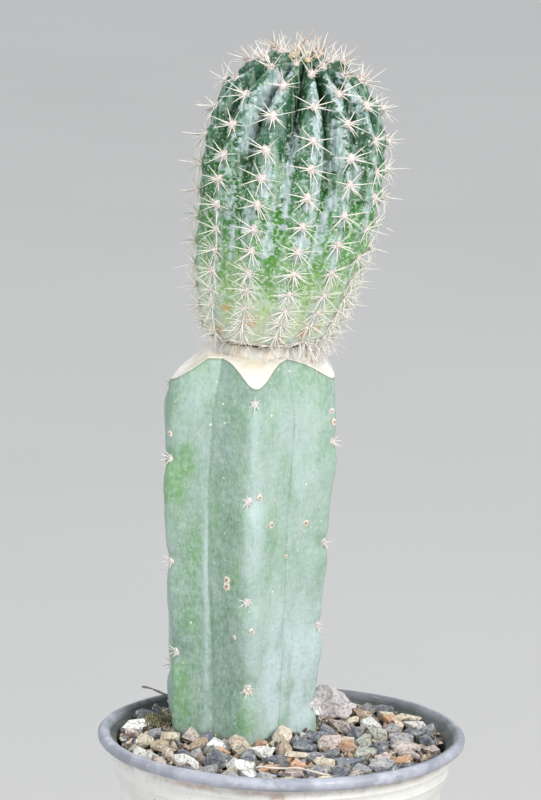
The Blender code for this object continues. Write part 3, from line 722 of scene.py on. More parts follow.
def unit(vectors):
    """Vectors of the same directions and of length 1."""
    return vectors / np.linalg.norm(vectors, axis=-1, keepdims=True)


def skin_frame(here, side, up):
    """Points on a skin, with unit vectors to the side, up and out, from a step to the side and one up."""
    side, up = unit(side), unit(up)
    return here, side, up, unit(np.cross(side, up))


def frame_on_stem(angle, height):
    """The skin_frame of the stock at an angle and a height."""
    def skin(turn, level):
        """Point of the leaning skin at an angle and a height."""
        return on_stem(polar(stem_radius(turn, level), turn - math.pi / 2, level))
    return skin_frame(skin(angle, height), skin(angle + 0.03, height) - skin(angle - 0.03, height),
                      skin(angle, height + 1.0) - skin(angle, height - 1.0))


def joined(parts):
    """One list of points and faces from many."""
    points, faces, start = [], {}, 0
    for part_points, part_faces in parts:
        points.append(part_points)
        for face in part_faces:
            faces.setdefault(face.shape[1], []).append(face + start)
        start += len(part_points)
    return np.vstack(points), [np.vstack(kind) for kind in faces.values()]


def by_ring(values, sides):
    """Values of the rows of a closed grid, from pole to pole, for each of its points."""
    return np.concatenate([values[:1], np.repeat(values[1:-1], sides), values[-1:]])


def domes(here, side, up, out, wide, tall, high, sink, sides=12, rings=3, dimple=0.0):
    """Low mounds on a skin, a little uneven round. From the foot in to the top the height follows a quarter
    of an ellipse, less a bell-shaped dimple. Underneath they end in one point below the skin."""
    turn = turns(sides)
    reach = np.sin(np.linspace(math.pi / 2, 0, rings + 1))[:-1]
    lift = np.sqrt(1 - reach ** 2) - dimple * bump_at(reach, 0.35)
    count = len(here)
    jitter = 1 + draw.uniform(-0.18, 0.18, (count, 1, sides))
    side, up, out = side[:, None, None], up[:, None, None], out[:, None, None]
    across = (reach[None, :, None] * np.cos(turn) * jitter)[..., None] * side
    along = (reach[None, :, None] * np.sin(turn) * jitter)[..., None] * up
    wide, tall, high = (np.broadcast_to(size, count)[:, None, None, None] for size in (wide, tall, high))
    skin = here[:, None, None] - sink * out
    body = skin + wide * across + tall * along + (high + sink) * lift[None, :, None, None] * out
    foot = np.repeat(skin - 0.5 * out, sides, axis=2)
    peak = np.repeat(skin + (high + sink) * (1 - dimple) * out, sides, axis=2)
    return joined([closed_grid(grid) for grid in np.concatenate([foot, body, peak], axis=1)])


def add_rods(name, node, paths, radii, sides, finish, warm, steps=None):
    """Adds round rods along paths[rod, point]. The end points close each rod, and those between carry rings
    of the given radii, square to the rod's chord. The marks are each rod's warmth and each point's step."""
    chord = unit(paths[:, -1] - paths[:, 0])
    side = unit(np.cross(np.where(np.abs(chord[:, 2:]) < 0.8, [[0.0, 0.0, 1.0]], [[1.0, 0.0, 0.0]]), chord))
    turn = turns(sides)[None, None, :, None]
    ring = np.cos(turn) * side[:, None, None] + np.sin(turn) * np.cross(chord, side)[:, None, None]
    rings = paths[:, 1:-1, None] + np.broadcast_to(radii, paths[:, 1:-1].shape[:2])[..., None, None] * ring
    ends = np.repeat(paths[:, [0, -1], None], sides, axis=2)
    grids = np.concatenate([ends[:, :1], rings, ends[:, 1:]], axis=1)
    reach = by_ring(np.zeros(paths.shape[1]) if steps is None else steps, sides)
    marks = {"warm": np.repeat(warm, len(reach)), "reach": np.tile(reach, len(paths))}
    add_piece(name, node, joined([closed_grid(grid) for grid in grids]), finish, marks)


def add_needles(name, node, roots, directions, lengths, radius, sag, warm, finish, sink=0.6):
    """Adds stiff needles, each a rod with a bulbous root below the skin, a little bend and a sharp tip."""
    lengths, steps = lengths[:, None, None], NEEDLE_STEPS[None, :, None]
    reach = directions[:, None] * (steps * (lengths + sink))
    bend = sag[:, None] * (steps ** 2) * lengths
    paths = (roots - sink * directions)[:, None] + reach + bend
    add_rods(name, node, paths, radius * NEEDLE_SHAPE, NEEDLE_SIDES, finish, warm, NEEDLE_STEPS)


def arms(turn, lift, side, up, out):
    """Ways along a skin at an angle from its side vector, and the same lifted off it by another angle."""
    flat = np.cos(turn)[..., None] * side[:, None] + np.sin(turn)[..., None] * up[:, None]
    return flat, flat * np.cos(lift)[..., None] + out[:, None] * np.sin(lift)[..., None]


def star_of_spines(here, side, up, out, count, length, lift):
    """Roots, directions and lengths of a star of spines at each areole, its arms shaken out of step."""
    turn = 2 * math.pi * (np.arange(count) + draw.uniform(-0.25, 0.25, (len(here), count))) / count
    flat, direction = arms(turn, lift + draw.uniform(-0.2, 0.25, turn.shape), side, up, out)
    roots = here[:, None] + 0.25 * flat
    lengths = length * draw.uniform(0.6, 1.15, turn.shape)
    return roots.reshape(-1, 3), direction.reshape(-1, 3), lengths.ravel()


def cork():
    """Tan cork, paler on top, with brown in its dimple and at its foot, partly painted shade, and fine cracks.
    """
    material, tree, place = new_material("cork", 0.85)
    crumb = clouds(place, 1100, 0.35, 0.65, 5)
    # The mark hollow gives brown cork and painted shade at the foot and in the dimple.
    base = layers(laid_over(crumb, (208, 194, 172), (238, 233, 222)), ((134, 100, 72), mark(tree, "hollow")))
    return finished(material, base, crumb, 0.15)


def wool(name, pale, deep, warm):
    """Matted plant wool: a pale felt mottled with a darker tone, partly its own tint and partly painted shade
    in the gaps between its hairs, tinted by the mark warm.
    """
    material, tree, place = new_material(name, 0.9)
    felt = clouds(place, 2200, 0.35, 0.65, 4)
    # The deep tone is partly the wool's own tint, partly painted shade between the hairs.
    return finished(material, layers(laid_over(felt, deep, pale), (warm, mark(tree, "warm"))), felt, 0.12)


def horn(name, pale, warm, tip):
    """Dry horny growth: pale, tinted by the mark warm, with a tip of another tone, and clouded paler."""
    material, tree, place = new_material(name, 0.45)
    return finished(material, layers(
        laid_over(mark(tree, "warm"), pale, warm), (tip, rising(mark(tree, "reach"), 0.75, 1.0, 0.6)),
        ((250, 244, 232), clouds(place, 1500, 0.3, 0.7), 0.25)))


spot_angle, spot_height, spot_size = CORK_SPOTS.T
warts = domes(*frame_on_stem(np.radians(spot_angle), spot_height), spot_size, spot_size * 1.15, WART_HEIGHT,
              0.2, WART_SIDES, WART_RINGS, WART_DIMPLE)
add_piece("rootstock_cork", "rootstock", warts, cork(),
          {"hollow": np.tile(by_ring(WART_BROWN_AND_SHADE, WART_SIDES), len(CORK_SPOTS))})

areole_rib, areole_height = np.array(
    [(rib, height) for rib, heights in enumerate(STEM_AREOLES) for height in heights]).T
areoles = frame_on_stem(stem_angle(areole_rib, areole_height), areole_height)
tufts = domes(*areoles, 1.1, 1.45, 0.6, 0.3)
add_piece("rootstock_wool", "rootstock", tufts, wool(
    "stem_wool", (242, 237, 235), (206, 194, 190), (190, 160, 140)), {"warm": np.zeros(len(tufts[0]))})
roots, directions, lengths = star_of_spines(*areoles, STEM_SPINES, STEM_SPINE_LENGTH, 0.75)
add_needles("rootstock_spines", "rootstock", roots, directions, lengths, STEM_SPINE_RADIUS, 0 * roots,
            draw.uniform(0, 0.5, len(roots)),
            horn("stem_spine", (240, 235, 232), (196, 178, 168), (176, 158, 148)), sink=0.4)

# Head
# The grafted echinopsis: a short column of thirteen ribs that bulge a little at each areole, dark green in
# the deep upper furrows and yellow-green lower down. Grey wax lies along the ribs, and pale pores all over.
HEAD_FOOT = np.array([HEAD_ASIDE, 0.0, 194.0])
HEAD_OUTLINE = (
    (12.8, 0.0), (16.2, 0.9), (17.8, 3.4), (19.1, 7.6), (20.8, 14.5), (22.0, 22.0), (22.8, 29.0),
    (23.5, 35.5), (24.4, 42.5), (24.5, 50.0), (23.8, 58.0), (21.7, 65.6), (18.1, 71.6), (12.9, 75.9),
    (7.4, 78.1), (3.8, 78.3), (0.0, 77.6),
)
HEAD_LINE = smooth_line(HEAD_OUTLINE)
HEAD_LENGTH = HEAD_LINE[-1, 2]
HEAD_RIBS, HEAD_COLUMNS, HEAD_ROWS = 13, 24, 250
# Degrees right of the front at which each crest stands, counter-clockwise.
RIB_ANGLES = np.array([10, 36.5, 61.5, 88, 115, 143, 171, 199, 227, 255, 283, 311, 340.5, 370])
RIB_TWIST, RIB_TWIST_END = 9.0, 20.0
FURROW_LOW, FURROW_HIGH, FURROW_SHARE = 0.5, 6.2, 0.4
FURROW_START, FURROW_FULL = 20.0, 72.0
# Share by which each furrow is shallower below its deep top, from the one right of the front crest on.
FURROW_FILLED = np.array([0, 0.1, 0, 0.2, 0.1, 0, 0.25, 0.1, 0, 0.2, 0, 0.1, 0.55])
TUBERCLE = 0.8
LEAN, LEAN_HEIGHT = np.radians([6.5, -10.0]), 24.0
SWAY, SWAY_LENGTH = 1.2, 85.0
# Distances of the areoles from the head's foot, along the crest: first by rule for the even and the odd ribs,
# then for the ribs in front.
EVEN_AREOLES = (2.6, 6.9, 11.9, 17.4, 23.4, 29.7, 36.5, 43.7, 51.3, 59.3, 67.7, 76.5, 85.8, 93.4)
ODD_AREOLES = (4.5, 9.3, 14.6, 20.4, 26.5, 33.1, 40.0, 47.4, 55.2, 63.4, 72.0, 81.1, 90.6)
FRONT_AREOLES = {
    0: (3.0, 7.5, 12.0, 16.5, 23.0, 29.8, 36.5, 44.0, 52.0, 60.0, 67.2, 76.5, 86.5, 93.8),
    1: (5.5, 11.0, 15.8, 22.2, 30.5, 38.5, 47.0, 55.8, 62.8, 71.8, 80.2, 89.2),
    2: (5.5, 10.2, 15.0, 20.0, 26.0, 33.0, 41.5, 50.5, 57.8, 66.0, 75.5, 85.2),
    11: (2.4, 6.5, 10.8, 15.2, 19.5, 24.8, 31.0, 37.0, 44.2, 51.5, 57.8, 66.2, 75.0, 85.2),
    12: (3.8, 8.8, 12.2, 16.5, 22.2, 28.0, 34.5, 41.0, 48.2, 55.5, 63.0, 71.8, 81.2, 90.0),
}
PADS = [(rib, at) for rib in range(HEAD_RIBS)
        for at in FRONT_AREOLES.get(rib, (EVEN_AREOLES, ODD_AREOLES)[rib % 2])]
# Bands of grey wax: place in ribs from the front one, distance from the foot, half width, half length.
WAX_BANDS = (
    (11.3, 79, 0.2, 13), (11.35, 65, 0.16, 8), (11.9, 80, 0.16, 8), (12.54, 60, 0.13, 13), (12.6, 48, 0.1, 7),
    (0.12, 72, 0.16, 16), (0.2, 54, 0.14, 12), (0.95, 80, 0.16, 12), (0.75, 66, 0.2, 8), (1.95, 80, 0.26, 10),
    (2.15, 66, 0.24, 9), (1.0, 50, 0.14, 12), (11.3, 46, 0.08, 5), (12.1, 56, 0.14, 6), (0.05, 40, 0.14, 8),
    (1.1, 36, 0.16, 9), (11.4, 35, 0.1, 5), (12.3, 38, 0.12, 7), (0.6, 46, 0.1, 6), (2.0, 47, 0.2, 8),
    (4.2, 70, 0.22, 12), (5.9, 62, 0.2, 14), (7.1, 74, 0.22, 10), (8.8, 60, 0.2, 12), (9.9, 72, 0.2, 12),
    (3.1, 56, 0.2, 10), (6.8, 44, 0.18, 9), (9.5, 46, 0.2, 10), (0.32, 60, 0.1, 9), (0.75, 52, 0.1, 5),
    (1.55, 58, 0.12, 8), (0.45, 38, 0.09, 8), (11.75, 42, 0.08, 6),
)
# Rusty patches near the foot: place in ribs, distance from the foot, size.
RUST_SPOTS = (
    (11.45, 14.5, 2.4), (12.15, 12.0, 3.2), (0.9, 8.0, 2.6), (1.5, 9.0, 2.0), (0.2, 5.5, 2.0),
    (11.2, 7.0, 2.2), (3.4, 9.0, 2.4), (5.1, 12.0, 2.6), (7.6, 10.0, 2.4), (9.4, 8.0, 2.8),
)


def leaned(points):
    """Bends the upright head over to the right and forward along an arc, which ends at LEAN_HEIGHT, and sways
    its middle to the right. The foot stays flat on the graft."""
    total = math.hypot(*LEAN)
    toward, upward = np.array([*LEAN / total, 0.0]), np.array([0.0, 0.0, 1.0])
    height = points[..., 2:]
    low = np.clip(height, 0, LEAN_HEIGHT)
    bend = LEAN_HEIGHT / total
    cos, sin = np.cos(low / bend), np.sin(low / bend)
    along, outer = toward * sin + upward * cos, toward * cos - upward * sin
    axis = toward * bend * (1 - cos) + upward * bend * sin
    across = (points @ toward)[..., None]
    sideways = points * [1, 1, 0] - toward * across
    sway = SWAY * np.sin(math.pi * height / SWAY_LENGTH) * np.array([1.0, 0.0, 0.0])
    return axis + along * (height - low) + sideways + outer * across + sway


def head_skin(place, along, furrows=1.0):
    """Points of the skin at a place in ribs, counted round from the front crest, and a distance along the
    crest from the foot. The outline is drawn in between crests: softly low down, and further up broad on the
    crest and sharp in the furrow. It swells at each areole."""
    place, along = np.broadcast_arrays(np.asarray(place, float), np.asarray(along, float))
    rib = np.round(place)
    off = np.abs(place - rib)
    widening, climb, step = np.gradient(HEAD_LINE, axis=0).T
    lines = (*HEAD_LINE[:, :2].T, climb / step, -widening / step)
    radius, height, out, upward = (np.interp(along, HEAD_LINE[:, 2], line) for line in lines)
    depth = eased(FURROW_LOW, FURROW_HIGH, height, FURROW_START, FURROW_FULL)
    filled = FURROW_FILLED[np.floor(place).astype(int) % HEAD_RIBS] * (1 - smooth_step(height, 48, 64))
    depth = np.minimum(depth * (1 - filled), FURROW_SHARE * radius)
    keen = smooth_step(height, 36, 66)
    soft, sharp = 1 - np.cos(math.pi * off), (2 * off) ** (1.4 + keen)
    section = (0.55 - 0.35 * keen) * soft + (0.45 + 0.35 * keen) * sharp
    near = furrows * TUBERCLE * bump_at(off, 0.24)
    shift = -furrows * depth * section - 0.3 * near * smooth_step(along, 0, 25)
    for index, at in PADS:
        size = smooth_step(at, 0, 25) + 0.5 * smooth_step(at, 80, 90)
        shift = shift + near * (rib % HEAD_RIBS == index) * size * bump_at(along - at, 2.2)
    turn = np.interp(place % HEAD_RIBS, np.arange(HEAD_RIBS + 1), RIB_ANGLES)
    turn = np.radians(turn - RIB_TWIST * (1 - smooth_step(along, -8, RIB_TWIST_END))) - math.pi / 2
    wave = 0.18 * np.sin(2.1 * place + along / 5) * smooth_step(along, 4, 12)
    shift = shift + wave * np.minimum(radius / 10, 1)
    return on_stem(leaned(polar(radius + out * shift, turn, height + upward * shift)) + HEAD_FOOT)


def ribs_away(place, at):
    """Distance in ribs from one place round the head to others, the shorter way."""
    return (place - at + HEAD_RIBS / 2) % HEAD_RIBS - HEAD_RIBS / 2


def add_head():
    """A grid of the skin from the middle of its underside to the middle of the sunken crown. Its marks give
    the furrows, the rise along the crest, the wax in bands and below the areoles, and the rust."""
    place = np.arange(HEAD_RIBS * HEAD_COLUMNS)[None] / HEAD_COLUMNS
    along = np.linspace(0, HEAD_LENGTH, HEAD_ROWS)[:, None]
    skin = head_skin(place, along)
    skin[-1] = skin[-1].mean(axis=0)
    grid = np.concatenate([on_stem(0 * skin[:1] + HEAD_FOOT), skin])
    place, along = np.broadcast_arrays(place, np.concatenate([[[0.0]], along]))
    wax, rust = np.zeros((2, *place.shape))
    for at, level, width, length in WAX_BANDS:
        wax = np.maximum(wax, bump_at(ribs_away(place, at), width) * bump_at(along - level, length))
    for rib, level in PADS:
        if 14 < level < 82:
            away = ribs_away(place, rib) + draw.uniform(-0.08, 0.08)
            below = bump_at(away, draw.uniform(0.08, 0.16)) * bump_at(along - level + 3.0, 2.0)
            wax = np.maximum(wax, draw.uniform(0.1, 1.0) * below)
    for at, level, size in RUST_SPOTS:
        rust = np.maximum(rust, bump_at(np.hypot(ribs_away(place, at) * 10, along - level), size))
    add_grid_piece("head_body", "echinopsis_head", grid, head_skin_finish(), {
        "furrow": 2 * np.abs(place - np.round(place)), "rise": along / HEAD_LENGTH, "wax": wax, "rust": rust})


def head_skin_finish():
    """Green skin whose colour goes from the crown down by the mark rise, darkest in the upper furrows. Over
    it: torn grey-green film, wax bands with ragged edges, chalky runs, a darker left side that is partly
    painted shade, pale pores and scales, and rust-brown cork at the foot."""
    material, tree, place = new_material("head_skin", 0.5, 0.28)
    rise, furrow = mark(tree, "rise"), mark(tree, "furrow")
    wander = plus(rise, times(clouds(place, 130, 0.2, 0.8, 4), 0.14), -0.07)
    crest = by_height(
        wander, (0.0, (206, 205, 194)), (0.1, (198, 202, 184)), (0.2, (186, 201, 170)),
        (0.34, (112, 158, 96)), (0.52, (66, 124, 72)), (0.72, (48, 96, 70)), (1.0, (48, 92, 64)))
    deep = by_height(
        wander, (0.0, (198, 199, 182)), (0.1, (184, 196, 156)), (0.22, (158, 187, 120)),
        (0.36, (70, 138, 42)), (0.52, (34, 104, 38)), (0.66, (18, 72, 30)), (1.0, (12, 46, 20)))
    torn = clouds(own_place(tree, 0.6), 470, 0.5, 0.55, 9)
    chalk = clouds(own_place(tree, 1, 0.45), 620, 0.3, 0.7, 8)
    streaks = clouds(own_place(tree, 0.3), 900, 0.3, 0.7, 6)
    film = rising(plus(mark(tree, "wax"), times(chalk, 0.9)), 0.75, 1.1)
    spots = specks(place, 560, 0.25, 0.55)
    base = layers(
        laid_over(rising(furrow, 0.3, 0.92), crest, deep),
        ((16, 58, 24), clouds(place, 330, 0.5, 0.6, 6), rising(rise, 0.2, 0.6, 0.7)),
        ((70, 132, 44), clouds(place, 820, 0.49, 0.57, 6), rising(rise, 0.08, 0.22, 0.5),
         rising(rise, 0.62, 0.4)),
        ((176, 198, 190), torn, plus(rising(furrow, 1.0, 0.3, 0.34), rising(rise, 0.45, 0.12, 0.44)),
         rising(clouds(place, 110, 0.3, 0.62), -0.3, 1.0)),
        ((214, 226, 218), clouds(place, 940, 0.52, 0.58, 9), rising(rise, 0.8, 0.45, 0.55)),
        ((168, 192, 174), clouds(own_place(tree, 0.1), 520, 0.53, 0.62, 4), rising(rise, 0.1, 0.5, 0.5)),
        (laid_over(streaks, (150, 178, 176), (208, 218, 223)), film, rising(streaks, -0.8, 1.0, 0.92)),
        # Darker green on the left side: partly less wax, partly painted shade away from the key light.
        ((28, 70, 36), rising(axes(place)[0], -0.012, -0.034, 0.34), rising(rise, 0.2, 0.42)),
        ((200, 220, 182), specks(place, 1150, 0.3, 0.5), 0.5),
        ((210, 224, 206), spots, 0.75),
        ((198, 216, 214), specks(own_place(tree, 0.7), 290, 0.34, 0.42), chalk, rising(rise, 0.72, 0.5)),
        ((196, 150, 104), rising(plus(mark(tree, "rust"), times(torn, 0.25)), 0.5, 1.0), 0.6),
        ((120, 92, 66), rising(rise, 0.016, 0.006, 0.8)))
    return finished(material, base, plus(times(film, 1.5), torn, spots), 0.06, rising(film, -1.5, 1.6))


add_head()

# Areoles and spines of the head
# Each areole is a pad of pinkish-white wool on its swelling, with short loose hairs. Up to ten stiff needles
# spread from it in a flat star, more of them to the sides and down than up, and one more stands out. Near
# the crown some of the young ones are orange-brown.
PAD_WIDTH, PAD_LENGTH, PAD_HEIGHT, PAD_SINK = 1.08, 1.35, 0.95, 0.35
SPINE_RADIUS, SPINE_LENGTH, SPINE_FLOOR = 0.18, 6.9, 0.7
# Arms of the star: degrees clockwise from straight up, share of the full length.
SPINE_ARMS = np.array([(78, 1.0), (-80, 1.0), (124, 0.95), (-128, 0.95), (178, 0.72), (42, 0.78), (-44, 0.82),
                       (100, 0.5), (-104, 0.5), (152, 0.6)])
FINE_SPINES, FINE_LENGTH, FINE_RADIUS = 10, 5.8, 0.115
HAIRS, HAIR_STEPS, HAIR_RADII = 24, np.array([0, 0.1, 0.7, 1.0])[None, :, None], (0.075, 0.055)
HAIR_SIDES = 3


def frame_on_head(place, along):
    """The skin_frame of the head. Its vectors leave out the furrows and the swellings, so that a star lies
    square to the rib."""
    return skin_frame(
        head_skin(place, along), head_skin(place + 0.1, along, 0.0) - head_skin(place - 0.1, along, 0.0),
        head_skin(place, along + 0.8, 0.0) - head_skin(place, along - 0.8, 0.0))


def above_cut(directions, roots, lengths):
    """Directions, raised where a tip would come too near the graft's cut."""
    lowest = (HEAD_FOOT[2] + SPINE_FLOOR - roots[:, 2]) / lengths
    directions[:, 2] = np.maximum(directions[:, 2], lowest)
    return unit(directions)


def add_head_spines():
    """The star of each pad, from which an arm is missing here and there, and its middle spine."""
    shape, single = (len(PADS), len(SPINE_ARMS)), (len(PADS), 1)
    turn = np.radians(SPINE_ARMS[:, 0] + draw.normal(0, 9, shape))
    lift = np.radians(draw.uniform(8, 32, shape) + 32 * smooth_step(pad_along, 72, 92)[:, None])
    flat, direction = arms(math.pi / 2 - turn, lift, side, up, out)
    size = np.interp(pad_along, [0, 12, 40, 80, 96], [0.8, 0.85, 0.95, 1.0, 0.8])[:, None]
    length = SPINE_LENGTH * SPINE_ARMS[:, 1] * size * draw.uniform(0.8, 1.12, shape)
    keep = draw.uniform(0, 1, shape) < 0.9 - 0.5 * smooth_step(pad_along, 84, 92)[:, None]
    middle = unit(out + 0.35 * (draw.uniform(-1, 1, single) * side + draw.uniform(-0.8, 1, single) * up))
    roots = np.concatenate([(here[:, None] + 0.45 * flat + 0.2 * out[:, None])[keep], here + 0.3 * out])
    length = np.concatenate([length[keep], (SPINE_LENGTH * size * draw.uniform(0.7, 1.05, single))[:, 0]])
    direction = above_cut(np.concatenate([direction[keep], middle]), roots, length)
    level = np.concatenate([np.repeat(pad_along, len(SPINE_ARMS))[keep.ravel()], pad_along])
    warm = smooth_step(level, 72, 92) * draw.uniform(0.0, 1.0, len(level)) ** 3.4
    warm += draw.uniform(0, 0.06, len(level)) + 0.06 * smooth_step(level, 12, 50)
    thick = SPINE_RADIUS * np.interp(level, [0, 15, 45, 80, 95], [0.62, 0.72, 0.95, 0.92, 0.8])[:, None]
    add_needles("head_spines", "echinopsis_head", roots, direction, length, thick,
                draw.normal(0, 0.03, roots.shape), np.clip(warm, 0, 1),
                horn("head_spine", (243, 241, 233), (182, 112, 52), (220, 202, 176)))


def add_fine_spines():
    """A second, finer star at each of the crowded low areoles, which mesh with one another."""
    low = [part[pad_along < 32] for part in pad_frame]
    roots, direction, length = star_of_spines(*low, FINE_SPINES, FINE_LENGTH, 0.35)
    add_needles("head_fine_spines", "echinopsis_head", roots, above_cut(direction, roots, length), length,
                FINE_RADIUS, draw.normal(0, 0.06, roots.shape), draw.uniform(0, 0.4, len(roots)),
                horn("fine_spine", (242, 240, 234), (214, 202, 184), (222, 212, 196)))


def add_head_hairs():
    """Short fine hairs that stand out of the wool all round."""
    shape = len(PADS), HAIRS
    turn = draw.uniform(0, 2 * math.pi, shape)
    flat, direction = arms(turn, draw.uniform(0.2, 1.3, shape), side, up, out)
    roots = here[:, None] + (pad_size * draw.uniform(0.1, 1, shape[::-1])).T[..., None] * flat
    length = (draw.uniform(0.9, 1.9, shape) * pad_size[:, None]).reshape(-1, 1, 1)
    curl = draw.normal(0, 0.25, (len(length), 1, 3))
    paths = roots.reshape(-1, 1, 3) + direction.reshape(-1, 1, 3) * HAIR_STEPS * length
    paths = paths + curl * HAIR_STEPS ** 2 * length
    add_rods("head_hairs", "echinopsis_head", paths, HAIR_RADII, HAIR_SIDES,
             horn("head_hair", (242, 235, 231), (226, 196, 136), (232, 216, 208)), np.repeat(young, HAIRS))


pad_rib, pad_along = np.transpose(PADS)
pad_along = pad_along + draw.uniform(-0.25, 0.25, len(PADS))
here, side, up, out = pad_frame = frame_on_head(pad_rib, pad_along)
pad_size = np.interp(pad_along, [0, 20, 60, 82, 96], [0.5, 0.75, 1.0, 1.0, 0.8])
pad_size *= draw.uniform(0.85, 1.15, len(PADS))
pads = domes(*pad_frame, PAD_WIDTH * pad_size, PAD_LENGTH * pad_size, PAD_HEIGHT * pad_size, PAD_SINK)
young = smooth_step(pad_along, 84, 94) * draw.uniform(0.0, 0.9, len(PADS))
add_piece("head_wool", "echinopsis_head", pads, wool(
    "head_wool", (246, 240, 237), (226, 206, 199), (232, 208, 140)),
    {"warm": np.repeat(young, len(pads[0]) // len(PADS))})
add_head_spines()
add_fine_spines()
add_head_hairs()

# Dead threads at the graft
# Dry root hairs and broken old spines that hang from the foot of the head, most of them on the right, where
# they reach down over the cut.
THREADS, THREAD_RADII = 150, (0.12, 0.12, 0.11, 0.09, 0.06)


def add_threads():
    """Thin curled rods that start under the foot of the head and fall outwards and down."""
    single = (THREADS, 1)
    right = draw.uniform(0, 1, THREADS) < 0.6
    place = np.where(right, draw.normal(1.9, 0.7, THREADS), draw.uniform(0, HEAD_RIBS, THREADS))
    start, side, _, out = frame_on_head(place, draw.uniform(0.5, 6, THREADS))
    fall = out * draw.uniform(0.3, 1.0, single) + side * draw.uniform(-0.8, 0.8, single)
    fall[:, 2] -= draw.uniform(0.1, 0.9, THREADS)
    length = draw.uniform(3, 6.5, (THREADS, 1, 1))
    steps = np.linspace(0, 1, len(THREAD_RADII) + 2)[None, :, None]
    curl = draw.normal(0, 0.55, (THREADS, 1, 3)) * np.sin(math.pi * steps) * length * 0.5
    paths = start[:, None] + fall[:, None] * steps * length + curl
    x, y, z = np.moveaxis(paths - STEM_CENTRE, -1, 0)
    floor = np.where(np.hypot(x, y) < 22, cut_height(x - z * math.sin(STEM_LEAN), y) + 0.15, 0)
    paths[..., 2] = np.maximum(paths[..., 2], floor)
    add_rods("graft_threads", "echinopsis_head", paths, THREAD_RADII, HAIR_SIDES,
             horn("dry_thread", (244, 242, 240), (216, 202, 192), (230, 222, 214)),
             draw.uniform(0, 0.5, THREADS))


add_threads()

# Gravel
# Top dressing of crushed stone, chips of 3 to 8 mm in cream, white, slate, tan, rust and pinkish grey. They
# lie loose in two layers on coarse grit, level at the wall and heaped against the stem.
GRAVEL_EDGE, GRAVEL_HEAP, HEAP_START, HEAP_REACH = 83.6, 3.2, 22.0, 12.0
STEM_ASIDE = STEM_CENTRE[:2] + [0.8, 0]
BED_RADIUS, BED_LIFT, GRIT_RADIUS, GRIT_DEPTH, GRIT_FLOOR = 43.6, 1.0, 44.1, 2.9, 78.3
BED_SIDES, BED_ROWS, BED_STRIDE = 200, 40, 13
# Heights at which the stem is measured, for the stones and for the grit bed.
STONE_LEVEL, BED_LEVEL = 85.0, 80.0
STONE_BLANKS, BLANK_CORNERS, BLANK_SLICES, STONE_GROWTH, STONE_THROWS = 14, 20, 5, 1.16, 1800
GRIT_BLANKS, GRIT_CORNERS, GRIT_GRAINS = 6, 8, 2400
MOSS_CENTRE = np.array([-34.2, 8.6, 84.4])
# Colour of each kind of stone, and its share of those that are thrown at random.
STONES = {
    "cream": ((236, 222, 197), 0.22), "white": ((244, 241, 236), 0.18), "slate": ((110, 116, 129), 0.22),
    "tan": ((196, 170, 142), 0.08), "rust": ((214, 168, 132), 0.03), "pink": ((208, 190, 184), 0.14),
    "grey": ((168, 169, 173), 0.1), "green": ((188, 190, 176), 0.01), "dark": ((66, 66, 70), 0.02),
}
# The stones placed one by one, most of them in front: kind, place across and deep, width and height.
CHOSEN_STONES = (
    ("slate", -42.0, 18.8, 4.9, 2.7), ("white", -42.0, 7.0, 8.4, 3.0), ("pink", -40.1, 0.0, 4.1, 2.7),
    ("cream", -37.0, -7.9, 4.9, 3.3), ("grey", -34.2, -1.9, 3.5, 3.8), ("cream", -29.9, -7.0, 4.9, 4.6),
    ("tan", -32.5, -11.8, 4.6, 3.0), ("cream", -30.2, -17.9, 3.8, 3.8), ("slate", -25.9, -18.2, 2.7, 4.6),
    ("grey", -22.9, -19.1, 3.0, 3.5), ("tan", -20.9, -23.5, 2.7, 2.5), ("slate", -16.9, -24.2, 7.4, 4.6),
    ("cream", -11.0, -13.4, 5.7, 6.3), ("white", -10.7, -27.1, 7.4, 3.8), ("rust", -5.6, -11.8, 4.1, 2.7),
    ("white", -5.5, -16.8, 5.7, 3.5), ("cream", 0.2, -6.6, 6.0, 8.5), ("tan", 0.8, -14.4, 4.4, 5.4),
    ("slate", 5.1, -7.0, 6.0, 3.3), ("slate", 6.4, -12.2, 6.0, 3.8), ("cream", 4.4, -18.3, 6.5, 3.0),
    ("slate", 10.2, -1.8, 6.6, 3.0), ("pink", 13.0, -6.5, 6.5, 5.2), ("pink", 15.8, 8.3, 5.4, 4.9),
    ("rust", 18.6, -7.6, 5.4, 3.8), ("slate", 20.6, 3.0, 4.1, 4.9), ("slate", 18.4, -21.9, 7.1, 3.3),
    ("green", 22.5, -13.1, 6.3, 3.3), ("green", 26.4, 3.4, 5.4, 7.2), ("tan", 21.8, 20.6, 4.4, 6.0),
    ("white", 24.7, 12.7, 5.4, 2.7), ("rust", 29.6, 17.6, 3.5, 5.4), ("slate", 28.1, 28.4, 6.0, 2.2),
    ("cream", 34.5, 20.1, 7.4, 3.5), ("white", 36.6, 12.7, 5.4, 3.3), ("pink", 33.6, -6.5, 7.6, 2.7),
    ("slate", 36.1, 4.0, 6.0, 3.8), ("slate", 40.0, -1.6, 3.8, 5.5), ("grey", 40.1, 9.1, 3.8, 3.8),
    ("rust", 32.6, -17.2, 5.4, 2.5), ("grey", 26.8, -21.9, 7.1, 3.0), ("rust", 4.5, -26.1, 4.1, 2.7),
    ("rust", -3.0, -28.6, 6.0, 2.2), ("grey", 21.3, -28.2, 5.4, 2.5), ("slate", 13.8, -14.5, 4.1, 3.3),
    ("grey", 10.6, -28.4, 4.9, 2.2), ("rust", -15.4, -17.0, 3.3, 2.5), ("grey", -19.2, -15.4, 3.3, 2.7),
    ("grey", 30.3, 7.7, 3.8, 3.3), ("cream", 12.0, -22.4, 5.2, 3.4), ("slate", -1.5, -22.6, 5.0, 3.6),
)
